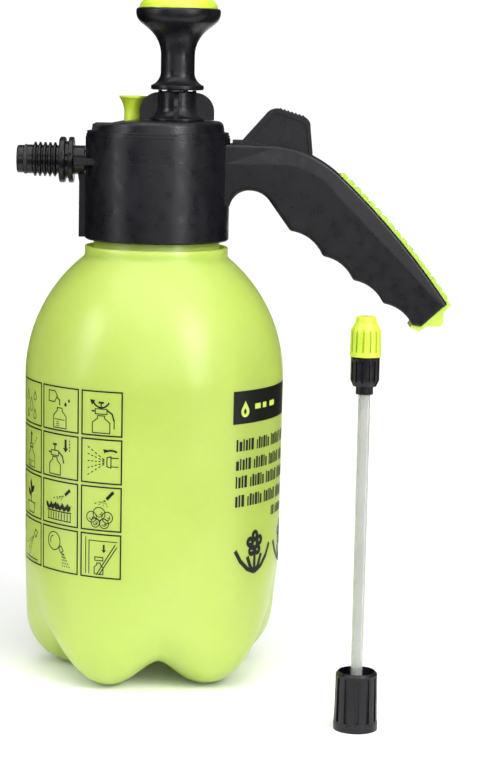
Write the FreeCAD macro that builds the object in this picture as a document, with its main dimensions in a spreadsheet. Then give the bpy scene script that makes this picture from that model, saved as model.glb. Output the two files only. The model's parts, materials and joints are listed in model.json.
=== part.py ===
"""Two-litre hand pump sprayer: bottle, pump head with grip and trigger, and its spray lance.

Frame: +Z up, origin on the floor under the bottle's axis, the grip points to +X and the
outlet to -X.  Every length is in millimetres.  Driving dimensions are in the Sizes sheet.
"""
import FreeCAD, Part
import math
import os
import Sketcher

V = FreeCAD.Vector
DOC = FreeCAD.newDocument("pump_sprayer")

# ---------------------------------------------------------------- driving dimensions
DIMENSIONS = {
    # bottle
    "bottle_radius": 63.3, "bottle_wall": 1.8, "heel_radius": 25.6, "wall_foot_radius": 62.6,
    "foot_pad_inner": 30.0, "base_rise": 12.0, "base_centre_radius": 16.0,
    "shoulder_height": 147.5, "shoulder_radius": 75.0,
    "neck_ring_radius": 34.9, "neck_ring_top": 211.2, "neck_gutter_radius": 33.5,
    "neck_gutter_depth": 2.2, "neck_radius": 30.6, "neck_bore": 28.5, "mouth_height": 236.0,
    "bottle_thread_crest": 31.5, "bottle_thread_pitch": 5.0, "bottle_thread_start": 218.5,
    "valley_tube": 15.0, "valley_centre_x": 35.0, "valley_centre_z": 38.9, "valley_reach": 43.4,
    "valley_count": 5, "valley_angle": -10,
    # collar and head shells
    "collar_radius": 35.1, "collar_bore": 32.6, "collar_thread_bore": 31.9, "collar_bottom": 214.5,
    "collar_top": 264.0, "seam_height": 252.3, "ledge_bottom": 239.5, "ledge_top": 242.0,
    "ledge_bore": 30.0, "gasket_height": 2.0, "gasket_inner": 28.7, "gasket_outer": 31.4,
    "key_plate_x": 39.5, "key_plate_half": 18.5, "key_plate_half_thick": 1.5,
    "collar_rib_proud": 2.9, "collar_rib_half": 2.0, "collar_rib_top": 243.0,
    # grip
    "grip_width": 24.0, "grip_cavity_width": 19.2, "grip_top": 261.5, "grip_wall": 2.2,
    "finger_groove": 19.0,
    "grip_strip_width": 15.0, "grip_strip_base": 0.8, "grip_bump_radius": 1.7, "grip_bump_count": 17,
    "grip_top_arc": 55.0, "grip_back_arc": 367.0, "end_plate_width": 20.0,
    # trigger and its pin
    "trigger_half": 9.0, "trigger_slot_half": 9.4, "trigger_pivot_x": 38.8, "trigger_pivot_z": 258.0,
    "trigger_pin_radius": 1.5, "trigger_pin_bore": 1.55, "trigger_pin_length": 21.0,
    "trigger_panel_depth": 0.5, "trigger_wall": 1.8, "trigger_rib_pitch": 1.9, "trigger_rib_count": 7,
    # top cap and manifold
    "cap_rim_radius": 34.4, "cap_wall_radius": 32.3, "cap_rim_height": 2.7, "cap_top": 272.2,
    "cap_skirt_radius": 32.4, "cap_thickness": 2.0, "pump_axis_x": 9.0, "pump_hole": 13.6,
    "relief_x": -12.5, "relief_y": 9.0, "relief_hole": 5.3,
    "manifold_radius": 31.6, "manifold_plug": 29.5, "manifold_top": 254.0, "pump_bore": 11.8,
    "pump_boss_radius": 16.0, "pump_boss_top": 269.5, "thread_bore": 13.3, "thread_floor": 253.0,
    "outlet_height": 252.3, "outlet_boss": 6.6, "outlet_socket": 5.05, "outlet_bore": 2.5,
    "valve_x": 44.0, "valve_arm_half": 7.5, "valve_arm_bottom": 242.6, "valve_chamber": 3.6,
    "valve_top": 253.4, "valve_seat_height": 248.0, "valve_stem_radius": 1.8, "valve_stem_top": 256.1,
    "passage": 1.5, "gallery_radius": 28.0, "inlet_height": 245.2, "gallery_height": 249.8,
    "relief_seat_height": 248.0,
    # pump
    "barrel_radius": 11.5, "barrel_bore": 10.0, "barrel_bottom": 108.0, "barrel_top": 266.0,
    "barrel_floor": 3.0, "wing_span": 18.0, "wing_thick": 2.0, "pump_cap_neck": 9.4,
    "pump_cap_base": 13.2, "pump_cap_top": 286.3, "pump_plug_radius": 12.7,
    "pump_thread_crest": 13.1, "rod_radius": 4.0, "rod_bush_bore": 4.05, "bush_radius": 7.2,
    "piston_bottom": 114.0, "piston_height": 11.0, "piston_radius": 9.6, "piston_seal_outer": 9.95,
    "handle_disc_radius": 12.8, "handle_disc_bottom": 287.0, "handle_disc_top": 289.3,
    "handle_shaft": 8.2, "handle_flare": 11.8, "handle_flare_top": 295.5, "handle_web": 310.0,
    "handle_top": 326.0, "handle_radius": 20.4, "insert_radius": 18.9, "insert_top": 332.8,
    # dip tube
    "dip_x": 24.4, "dip_radius": 2.5, "dip_bore": 1.6, "dip_bottom": 17.5, "dip_top": 246.0,
    # outlet spigot, measured along its own axis from the inner end
    "spigot_inner": 27.0, "spigot_tip": 68.2, "spigot_tip_radius": 6.7, "spigot_plain": 7.0,
    "spigot_crest": 8.35, "spigot_pitch": 2.4, "spigot_thread_count": 5, "spigot_thread_start": 48.6,
    "flange_radius": 11.1,
    # relief valve
    "relief_stem": 3.0, "relief_neck": 4.6, "relief_flare": 7.0, "relief_top": 283.5,
    # lance
    "lance_x": 98.0, "lance_y": -100.0, "lance_tube_radius": 2.7, "lance_tube_bore": 1.7,
    "lance_tube_bottom": 12.5, "lance_tube_top": 164.0, "nut_radius": 10.1, "nut_top_radius": 9.5,
    "nut_height": 27.0, "nut_bore": 8.7, "nut_thread_crest": 8.45, "nut_rib_count": 12,
    "nozzle_rim": 7.0, "nozzle_bottom": 172.0, "nozzle_top": 190.0, "nozzle_rib_count": 14,
    "body_rib_count": 14,
}

sheet = DOC.addObject("Spreadsheet::Sheet", "Sizes")
for row, (alias, number) in enumerate(DIMENSIONS.items(), start=1):
    cell = "A%d" % row
    sheet.set(cell, str(number))
    sheet.setAlias(cell, alias)
DOC.recompute()


class Size:
    """A number that keeps the sheet expression it is worked out from."""

    def __init__(self, value, text):
        self.value = float(value)
        self.text = text

    def join(self, other, sign, value):
        return Size(value, "(%s %s %s)" % (self.text, sign, size_of(other).text))

    def __add__(self, other):
        return self.join(other, "+", self.value + size_of(other).value)

    def __radd__(self, other):
        return size_of(other) + self

    def __sub__(self, other):
        return self.join(other, "-", self.value - size_of(other).value)

    def __rsub__(self, other):
        return size_of(other) - self

    def __mul__(self, other):
        return self.join(other, "*", self.value * size_of(other).value)

    def __truediv__(self, other):
        return self.join(other, "/", self.value / size_of(other).value)

    def __neg__(self):
        return Size(-self.value, "(0 - %s)" % self.text)


def size_of(number):
    """A plain number becomes a Size whose expression is the number itself."""
    if isinstance(number, Size):
        return number
    return Size(number, "%.6f" % number if number >= 0 else "(0 - %.6f)" % -number)


class SheetSizes:
    """Gives each alias of the sheet as a Size."""

    def __getattr__(self, alias):
        return Size(DIMENSIONS[alias], "Sizes." + alias)


S = SheetSizes()
SUBPARTS = []


def bind(thing, path, size):
    """Ties a property of a document object to the sheet."""
    thing.setExpression(path, size_of(size).text)


# ---------------------------------------------------------------- outlines and sketches
def line(x, y):
    """An outline's next corner, reached by a straight edge."""
    return (size_of(x), size_of(y), None, 0)


def arc(x, y, radius, turn):
    """An outline's next corner, reached by an arc: turn is 1 to the left and -1 to the right."""
    return (size_of(x), size_of(y), size_of(radius), turn)


def arc_geometry(start, end, radius, turn):
    """The minor arc between two points, as FreeCAD's counter-clockwise arc of a circle."""
    chord = end - start
    normal = V(-chord.y, chord.x, 0) / chord.Length
    rise = math.sqrt(max(radius ** 2 - chord.Length ** 2 / 4.0, 0.0))
    centre = (start + end) / 2.0 + normal * rise * turn
    angles = [math.atan2(point.y - centre.y, point.x - centre.x) for point in (start, end)]
    first, last = angles if turn > 0 else reversed(angles)
    if last < first:
        last += 2 * math.pi
    return Part.ArcOfCircle(Part.Circle(centre, V(0, 0, 1), radius), first, last)


def draw(sketch, corners):
    """Draws one closed outline; every corner and every arc radius is driven by the sheet."""
    places = [V(x.value, y.value, 0) for x, y, radius, turn in corners]
    ends = []
    for index, (x, y, radius, turn) in enumerate(corners):
        start, end = places[index - 1], places[index]
        if radius is None:
            edge = sketch.addGeometry(Part.LineSegment(start, end), False)
            ends.append((edge, 1, 2))
        else:
            edge = sketch.addGeometry(arc_geometry(start, end, radius.value, turn), False)
            ends.append((edge, 1, 2) if turn > 0 else (edge, 2, 1))
            rule = sketch.addConstraint(Sketcher.Constraint("Radius", edge, radius.value))
            sketch.setExpression("Constraints[%d]" % rule, radius.text)
    for index, (edge, first, last) in enumerate(ends):
        following = ends[(index + 1) % len(ends)]
        joint = Sketcher.Constraint("Coincident", edge, last, following[0], following[1])
        sketch.addConstraint(joint)
        x, y = corners[index][0], corners[index][1]
        for kind, size in (("DistanceX", x), ("DistanceY", y)):
            rule = sketch.addConstraint(Sketcher.Constraint(kind, -1, 1, edge, last, size.value))
            sketch.setExpression("Constraints[%d]" % rule, size.text)


def draw_circle(sketch, x, y, radius):
    """A full circle with its centre and radius driven by the sheet."""
    x, y, radius = size_of(x), size_of(y), size_of(radius)
    edge = sketch.addGeometry(Part.Circle(V(x.value, y.value, 0), V(0, 0, 1), radius.value), False)
    rule = sketch.addConstraint(Sketcher.Constraint("Radius", edge, radius.value))
    sketch.setExpression("Constraints[%d]" % rule, radius.text)
    for kind, size in (("DistanceX", x), ("DistanceY", y)):
        rule = sketch.addConstraint(Sketcher.Constraint(kind, -1, 1, edge, 3, size.value))
        sketch.setExpression("Constraints[%d]" % rule, size.text)


def origin_plane(body, role):
    """The body's own origin plane with this role."""
    return [item for item in body.Origin.OriginFeatures if item.Role == role][0]


def add_sketch(body, role, outlines=(), circles=(), offset=0, shift=(0, 0)):
    """A sketch on one of the body's origin planes, moved along the plane's normal by offset."""
    sketch = body.newObject("Sketcher::SketchObject", "Sketch")
    sketch.AttachmentSupport = [(origin_plane(body, role), "")]
    sketch.MapMode = "FlatFace"
    bind(sketch, "AttachmentOffset.Base.z", offset)
    bind(sketch, "AttachmentOffset.Base.x", shift[0])
    bind(sketch, "AttachmentOffset.Base.y", shift[1])
    for corners in outlines:
        draw(sketch, corners)
    for x, y, radius in circles:
        draw_circle(sketch, x, y, radius)
    return sketch


# ---------------------------------------------------------------- features
def new_body(label, kept=True):
    """A PartDesign body; kept bodies are exported as sub-parts."""
    body = DOC.addObject("PartDesign::Body", label)
    body.Label = label
    if kept:
        SUBPARTS.append(body)
    return body


def revolve(body, corners, cut=False):
    """Turns an outline of radius and height about the body's own Z axis."""
    sketch = add_sketch(body, "XZ_Plane", [corners])
    kind = "PartDesign::Groove" if cut else "PartDesign::Revolution"
    feature = body.newObject(kind, "Groove" if cut else "Revolution")
    feature.Profile = sketch
    feature.ReferenceAxis = (sketch, ["V_Axis"])
    feature.Angle = 360.0
    sketch.Visibility = False
    return feature


def extrude(body, role, length, outlines=(), circles=(), offset=0, both=True, cut=False, back=False):
    """Pads or pockets outlines: symmetric when both, otherwise to one side of the sketch."""
    sketch = add_sketch(body, role, outlines, circles, offset)
    kind = "PartDesign::Pocket" if cut else "PartDesign::Pad"
    feature = body.newObject(kind, "Pocket" if cut else "Pad")
    feature.Profile = sketch
    bind(feature, "Length", length)
    feature.Midplane = both
    feature.Reversed = back
    return feature


def polar(body, features, count, reach=360.0, axis=None, backwards=False):
    """Repeats features round an axis, the body's own Z axis unless a sketch gives another."""
    pattern = body.newObject("PartDesign::PolarPattern", "PolarPattern")
    pattern.Originals = list(features)
    if axis is None:
        z_axis = [item for item in body.Origin.OriginFeatures if item.Role == "Z_Axis"][0]
        pattern.Axis = (z_axis, [""])
    else:
        pattern.Axis = (axis, ["N_Axis"])
    pattern.Angle = reach
    pattern.Reversed = backwards
    bind(pattern, "Occurrences", count)
    body.Tip = pattern
    return pattern


def fillet(body, radius, wanted, chamfer=False):
    """Rounds or chamfers the edges of the body's tip whose middle point passes the test."""
    DOC.recompute()
    base = body.Tip
    names = []
    for index, edge in enumerate(base.Shape.Edges, start=1):
        if edge.Length > 1e-6 and not edge.isSeam(base.Shape.Faces[0]):
            middle = edge.valueAt((edge.FirstParameter + edge.LastParameter) / 2.0)
            if wanted(edge, middle):
                names.append("Edge%d" % index)
    kind = "PartDesign::Chamfer" if chamfer else "PartDesign::Fillet"
    feature = body.newObject(kind, "Chamfer" if chamfer else "Fillet")
    feature.Base = (base, names)
    bind(feature, "Size" if chamfer else "Radius", radius)
    DOC.recompute()
    return feature


def place(thing, x=0, y=0, z=0, axis=None, angle=0):
    """Puts a sub-part where it belongs; the position follows the sheet."""
    if axis is not None:
        thing.Placement = FreeCAD.Placement(V(0, 0, 0), FreeCAD.Rotation(axis, angle))
    for name, size in (("x", x), ("y", y), ("z", z)):
        bind(thing, "Placement.Base." + name, size)


def ring(label, inner, outer, height, x=0, y=0, z=0):
    """A flat washer or gasket, centred on its own axis with its lower face at z."""
    body = new_body(label)
    corners = [line(inner, 0), line(outer, 0), line(outer, height), line(inner, height)]
    revolve(body, corners)
    place(body, x, y, z)
    return body


def o_ring(label, outer, section, x=0, y=0, z=0, axis=None, angle=0):
    """An O-ring whose outer radius and wire radius are given."""
    torus = DOC.addObject("Part::Torus", label)
    torus.Label = label
    bind(torus, "Radius1", size_of(outer) - section)
    bind(torus, "Radius2", section)
    place(torus, x, y, z, axis, angle)
    SUBPARTS.append(torus)
    return torus


def ridge_rings(root, crest, first, pitch, count, half=0.9, tip=0.35):
    """Corners of thread ridges drawn as rings, going up an outline at its root radius."""
    corners = []
    for turn in range(count):
        middle = size_of(first) + size_of(pitch) * turn
        corners += [line(root, middle - half), line(crest, middle - tip)]
        corners += [line(crest, middle + tip), line(root, middle + half)]
    return corners


# ---------------------------------------------------------------- bottle
def bottle_form(label, inset, outline):
    """A turned form with five rounded valleys between its feet; inset thickens the valleys."""
    body = new_body(label, kept=False)
    revolve(body, outline)
    tube = S.valley_tube + inset
    quarter = add_sketch(body, "XY_Plane", circles=[(S.valley_reach, 0, tube)],
                         offset=S.valley_centre_z, shift=(S.valley_centre_x, 0))
    groove = body.newObject("PartDesign::Groove", "Groove")
    groove.Profile = quarter
    groove.ReferenceAxis = (quarter, ["V_Axis"])
    groove.Angle = 90.0
    channel = extrude(body, "YZ_Plane", S.valley_centre_x,
                      circles=[(0, S.valley_centre_z - S.valley_reach, tube)],
                      offset=S.valley_centre_x, both=False, cut=True)
    polar(body, [groove, channel], S.valley_count)
    body.Placement = FreeCAD.Placement(V(0, 0, 0), FreeCAD.Rotation(V(0, 0, 1), 0))
    bind(body, "Placement.Rotation.Angle", S.valley_angle)
    return body


def shoulder_z(radius, wall):
    """Height where the shoulder's arc, thinner by wall, passes a radius."""
    arm = S.shoulder_radius - wall
    reach = size_of(radius) - S.bottle_radius + S.shoulder_radius
    rise = math.sqrt(arm.value ** 2 - reach.value ** 2)
    text = "sqrt(%s * %s - %s * %s)" % (arm.text, arm.text, reach.text, reach.text)
    return S.shoulder_height + Size(rise, text)


def make_bottle():
    wall = S.bottle_wall
    pad_outer = S.wall_foot_radius - S.heel_radius
    gutter = S.neck_ring_top - S.neck_gutter_depth
    outside = [
        line(0, S.base_rise), line(S.base_centre_radius, S.base_rise), line(S.foot_pad_inner, 0),
        line(pad_outer, 0), arc(S.wall_foot_radius, S.heel_radius, S.heel_radius, 1),
        line(S.bottle_radius, S.shoulder_height),
        arc(S.neck_ring_radius, shoulder_z(S.neck_ring_radius, 0), S.shoulder_radius, 1),
        line(S.neck_ring_radius, S.neck_ring_top), line(S.neck_gutter_radius, S.neck_ring_top),
        line(S.neck_gutter_radius, gutter), line(S.neck_radius, gutter),
    ]
    outside += ridge_rings(S.neck_radius, S.bottle_thread_crest, S.bottle_thread_start,
                           S.bottle_thread_pitch, 3)
    outside += [line(S.neck_radius, S.mouth_height), line(0, S.mouth_height)]
    inside = [
        line(0, S.base_rise + wall), line(S.base_centre_radius + 0.8, S.base_rise + wall),
        line(S.foot_pad_inner + 0.8, wall), line(pad_outer, wall),
        arc(S.wall_foot_radius - wall, S.heel_radius, S.heel_radius - wall, 1),
        line(S.bottle_radius - wall, S.shoulder_height),
        arc(S.neck_bore, shoulder_z(S.neck_bore, wall), S.shoulder_radius - wall, 1),
        line(S.neck_bore, S.mouth_height + 1), line(0, S.mouth_height + 1),
    ]
    cut = DOC.addObject("Part::Cut", "bottle")
    cut.Label = "bottle"
    cut.Base = bottle_form("bottle_outside", size_of(0), outside)
    cut.Tool = bottle_form("bottle_inside", wall, inside)
    SUBPARTS.append(cut)


# ---------------------------------------------------------------- grip outlines
FINGER_RIDGES = [(110.8, 186.2), (95.9, 197.2), (80.9, 208.6), (65.0, 220.5)]


def grip_top_edge():
    """From the grip's end up its back to the collar, along the outer edge."""
    return [arc(88.5, 247.8, S.grip_back_arc, 1), arc(56, S.grip_top, S.grip_top_arc, 1),
            line(30, S.grip_top)]


def seam_line():
    """The parting line between the two shells, from the collar to the grip's end."""
    return [line(30, S.seam_height), line(64, S.seam_height), arc(87, 238.4, 34, -1),
            line(140.2, 185.1)]


def underside():
    """From the grip's end back to the collar: four finger grooves, their ridges and the arch."""
    corners = [line(129.6, 175.3), line(125.2, 176.0)]
    for x, z in FINGER_RIDGES:
        corners.append(arc(x, z, S.finger_groove, 1))
    return corners + [line(54.0, 235.6), arc(44.4, 239.6, 12.0, 1), arc(35.4, 232.0, 9.5, 1),
                      line(30, 232)]


def grip_cavity():
    """The hollow that both shells share: it lies a wall inside the grip's outline."""
    wall = S.grip_wall
    return [line(31, S.grip_top - wall), line(31, 241.9), line(50.5, 241.9), line(58.4, 237.2),
            line(68.2, 224.2), line(74.1, 220.1), line(126.6, 179.6), line(137.4, 189.8),
            arc(87.2, 245.9, S.grip_back_arc - wall, 1),
            arc(56, S.grip_top - wall, S.grip_top_arc - wall, 1)]


def is_side_edge(edge, middle):
    """True for an edge that lies in one of the grip's two flat sides, outside the collar."""
    return abs(abs(middle.y) - S.grip_width.value / 2) < 1e-3 and middle.x > 44


def outlet_notch(body):
    """The hole for the outlet spigot, shared half and half by the two shells."""
    reach = S.key_plate_x + 10
    extrude(body, "YZ_Plane", reach, circles=[(0, S.outlet_height, S.spigot_plain + 0.15)],
            both=False, cut=True)


def key_plate_outline(lower):
    """Half of the flat plate that clamps the outlet at the seam."""
    sign = -1 if lower else 1
    edge = S.seam_height + S.key_plate_half_thick * sign
    half = S.key_plate_half
    return [line(-half, S.seam_height), line(half, S.seam_height), line(half, edge), line(-half, edge)]


def make_lower_housing():
    """Collar with its thread ridges and the grip's lower shell, moulded as one piece."""
    body = new_body("lower_housing")
    outline = seam_line() + underside()
    extrude(body, "XZ_Plane", S.grip_width, [outline])
    fillet(body, 2.4, lambda edge, middle: is_ridge(edge, middle))
    fillet(body, 1.8, lambda edge, middle: is_side_edge(edge, middle) and below_seam(middle))
    chamfer = 0.7
    revolve(body, [line(0, S.collar_bottom), line(S.collar_radius - chamfer, S.collar_bottom),
                   line(S.collar_radius, S.collar_bottom + chamfer),
                   line(S.collar_radius, S.seam_height), line(0, S.seam_height)])
    extrude(body, "YZ_Plane", S.key_plate_x, [key_plate_outline(True)], both=False, back=True)
    rib_x = S.collar_radius + S.collar_rib_proud
    rib = [line(-30, S.collar_bottom + 0.6), line(-30, S.collar_rib_top), line(-rib_x, S.collar_rib_top),
           line(-rib_x, S.collar_bottom + 0.6)]
    extrude(body, "XZ_Plane", S.collar_rib_half * 2, [rib])
    gusset = [line(-30, S.collar_rib_top - 1), line(-30, S.seam_height - 1.5),
              line(-S.key_plate_x, S.seam_height - 1.5), line(-rib_x, S.collar_rib_top - 1)]
    extrude(body, "XZ_Plane", S.collar_rib_half * 2, [gusset])
    extrude(body, "XZ_Plane", S.grip_cavity_width, [grip_cavity()], cut=True)
    bore = [line(0, S.collar_bottom - 1), line(S.collar_bore, S.collar_bottom - 1)]
    bore += ridge_rings(S.collar_bore, S.collar_thread_bore, S.bottle_thread_start + 2.5,
                        S.bottle_thread_pitch, 3)
    bore += [line(S.collar_bore, S.ledge_bottom), line(S.ledge_bore, S.ledge_bottom),
             line(S.ledge_bore, S.ledge_top), line(S.collar_bore, S.ledge_top),
             line(S.collar_bore, S.seam_height + 1), line(0, S.seam_height + 1)]
    revolve(body, bore, cut=True)
    outlet_notch(body)


def is_ridge(edge, middle):
    """True for the straight cross edges at the tips of the finger ridges."""
    crossing = edge.Curve.TypeId == "Part::GeomLine" and abs(edge.tangentAt(edge.FirstParameter).y) > 0.99
    return crossing and min((middle - V(x, 0, z)).Length for x, z in FINGER_RIDGES) < 0.5


def below_seam(middle):
    """True for a point under the seam line, clear of it."""
    run = (middle.x - 87.0) / (141.8 - 87.0)
    seam = S.seam_height.value if middle.x < 64 else min(S.seam_height.value, 238.4 - 51.8 * run)
    return middle.z < seam - 3.0


def make_upper_housing():
    """Upper ring of the head and the grip's upper shell, with the trigger's slot."""
    body = new_body("upper_housing")
    outline = seam_line() + [line(141.8, 186.6)] + grip_top_edge()
    extrude(body, "XZ_Plane", S.grip_width, [outline])
    fillet(body, 1.4, lambda edge, middle: is_side_edge(edge, middle) and is_back_edge(middle))
    revolve(body, [line(0, S.seam_height), line(S.collar_radius, S.seam_height),
                   line(S.collar_radius, S.collar_top), line(0, S.collar_top)])
    extrude(body, "YZ_Plane", S.key_plate_x, [key_plate_outline(False)], both=False, back=True)
    extrude(body, "XZ_Plane", S.grip_cavity_width, [grip_cavity()], cut=True)
    half = S.trigger_slot_half
    slot = [line(35.7, -half), line(76.4, -half), line(76.4, half), line(35.7, half)]
    extrude(body, "XY_Plane", 20, [slot], offset=S.grip_top + 2, both=False, cut=True)
    extrude(body, "XZ_Plane", S.trigger_pin_length, cut=True,
            circles=[(S.trigger_pivot_x, S.trigger_pivot_z, S.trigger_pin_radius)])
    revolve(body, [line(0, S.seam_height - 1), line(S.collar_bore, S.seam_height - 1),
                   line(S.collar_bore, S.collar_top + 1), line(0, S.collar_top + 1)], cut=True)
    outlet_notch(body)


def is_back_edge(middle):
    """True for a point on the grip's outer back edge."""
    if middle.x < 56:
        return middle.z > S.grip_top.value - 0.5
    return middle.z > 186.6 + (141.8 - middle.x) * 1.08


def make_grip_strip():
    """Soft green back strip with cross bumps; its lower end wraps over the grip's end."""
    body = new_body("grip_strip")
    base = S.grip_strip_base
    band = [arc(88.5, 247.8, S.grip_back_arc, 1), line(89.1, 248.35),
            arc(142.6, 187.15, S.grip_back_arc + base, -1), line(141.8, 186.6)]
    extrude(body, "XZ_Plane", S.grip_strip_width, [band])
    centre = arc_centre(V(88.5, 247.8, 0), V(141.8, 186.6, 0), S.grip_back_arc.value)
    hub = add_sketch(body, "XZ_Plane", shift=(centre.x, centre.y))
    start = V(90.3, 246.05, 0)
    lift = (start - centre).normalize() * (S.grip_back_arc.value + 0.5)
    spot = centre + lift
    bump = extrude(body, "XZ_Plane", S.grip_strip_width, circles=[(spot.x, spot.y, S.grip_bump_radius)])
    reach = math.degrees(76.0 / S.grip_back_arc.value)
    polar(body, [bump], S.grip_bump_count, reach, hub, backwards=True)
    beneath = [arc(88.5, 247.8, S.grip_back_arc, 1), line(84, 243), line(137, 182.3), line(141.8, 186.6)]
    extrude(body, "XZ_Plane", S.grip_strip_width + 2, [beneath], cut=True)
    plate = [line(141.8, 186.6), line(129.6, 175.3), line(125.2, 176.0), line(124.2, 174.6),
             line(128.9, 172.8), line(132.2, 175.4), line(138.7, 175.4), line(140.3, 177.2),
             line(140.3, 182.4), line(144.0, 186.0), line(142.6, 187.15)]
    extrude(body, "XZ_Plane", S.end_plate_width, [plate])


def arc_centre(start, end, radius):
    """Centre of the grip's back arc, on its inner side."""
    chord = end - start
    normal = V(chord.y, -chord.x, 0) / chord.Length
    return (start + end) / 2.0 + normal * math.sqrt(radius ** 2 - chord.Length ** 2 / 4.0)


# ---------------------------------------------------------------- trigger
def trigger_outline(inset=0.0):
    """Side view of the thumb lever; inset shrinks it for the sunk side panel."""
    return [line(36.2 + inset, 257.0), line(36.2 + inset, 263.3 - inset), line(41.0, 263.3 - inset),
            line(52.6 + inset * 0.4, 276.6 - inset), arc(58.4, 278.9 - inset, 7.0, -1),
            line(70.2 - inset * 0.3, 275.3 - inset), arc(73.6 - inset, 270.8 - inset, 4.2, -1),
            line(75.3 - inset, 254.4)]


def make_trigger():
    body = new_body("trigger")
    extrude(body, "XZ_Plane", S.trigger_half * 2, [trigger_outline()])
    panel = S.trigger_half - S.trigger_panel_depth
    inset = 1.6
    for side in (1, -1):
        sketch_offset = panel * side
        extrude(body, "XZ_Plane", 2, [trigger_panel(inset)], offset=sketch_offset, both=False,
                cut=True, back=(side > 0))
    half = S.trigger_half - S.trigger_wall
    hollow = [line(49.5, 250), line(49.5, 266), line(56, 275.2), line(69.4, 272.0), line(71.6, 268),
              line(73.3, 250)]
    extrude(body, "XZ_Plane", half * 2, [hollow], cut=True)
    teeth = []
    for tooth in range(DIMENSIONS["trigger_rib_count"]):
        run = 0.9 + tooth * S.trigger_rib_pitch.value
        x = 58.4 + run * 0.957
        z = 278.9 - run * 0.292
        teeth.append([line(x - 0.55, z - 0.4), line(x + 0.75, z - 0.8), line(x + 0.45, z + 0.35),
                      line(x - 0.15, z + 0.5)])
    extrude(body, "XZ_Plane", S.trigger_half * 2 - 1.6, teeth)
    extrude(body, "XZ_Plane", S.trigger_half * 2 + 2, cut=True,
            circles=[(S.trigger_pivot_x, S.trigger_pivot_z, S.trigger_pin_bore)])


def trigger_panel(inset):
    """The sunk panel on each side of the trigger, above the grip's edge."""
    return [line(45.5, 264.4), line(54.4, 274.9), arc(58.4, 278.9 - inset - 0.5, 5.4, -1),
            line(69.4, 275.0 - inset - 0.4), arc(71.6, 270.6, 3.0, -1), line(73.2, 257.6),
            line(66, 259.8), line(46, 262.4)]


def make_trigger_pin():
    pin = DOC.addObject("Part::Cylinder", "trigger_pin")
    pin.Label = "trigger_pin"
    bind(pin, "Radius", S.trigger_pin_radius)
    bind(pin, "Height", S.trigger_pin_length)
    place(pin, S.trigger_pivot_x, S.trigger_pin_length / 2, S.trigger_pivot_z, V(1, 0, 0), 90)
    SUBPARTS.append(pin)


# ---------------------------------------------------------------- head core
def make_top_cap():
    """Cover of the head: stepped rim, upright wall and a flat top that slopes to the outlet."""
    body = new_body("top_cap")
    rim = S.collar_top
    wall_top = S.cap_top - 2.4
    thick = S.cap_thickness
    revolve(body, [
        line(S.cap_skirt_radius - thick, rim - 4), line(S.cap_skirt_radius, rim - 4),
        line(S.cap_skirt_radius, rim), line(S.cap_rim_radius + 0.4, rim),
        line(S.cap_rim_radius + 0.4, rim + 1.3), line(S.cap_rim_radius, rim + 1.4),
        line(S.cap_rim_radius, rim + S.cap_rim_height), line(S.cap_wall_radius, rim + S.cap_rim_height),
        line(S.cap_wall_radius - 0.5, wall_top), arc(S.cap_wall_radius - 3, S.cap_top, 2.8, 1),
        line(0, S.cap_top), line(0, S.cap_top - thick), line(S.cap_skirt_radius - thick, S.cap_top - thick)])
    slope = [line(-12, S.cap_top), line(-40, S.cap_top - 5.2), line(-40, S.cap_top + 4),
             line(-12, S.cap_top + 4)]
    extrude(body, "XZ_Plane", 90, [slope], cut=True)
    lining = [line(-12, S.cap_top - thick), line(-31, S.cap_top - thick - 3.6),
              line(-31, S.cap_top - thick)]
    extrude(body, "XZ_Plane", 30, [lining])
    extrude(body, "XY_Plane", 30, circles=[(S.pump_axis_x, 0, S.pump_hole)], offset=S.cap_top + 10,
            both=False, cut=True)
    extrude(body, "XY_Plane", 30, circles=[(S.relief_x, S.relief_y, S.relief_hole)],
            offset=S.cap_top + 10, both=False, cut=True)


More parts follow.
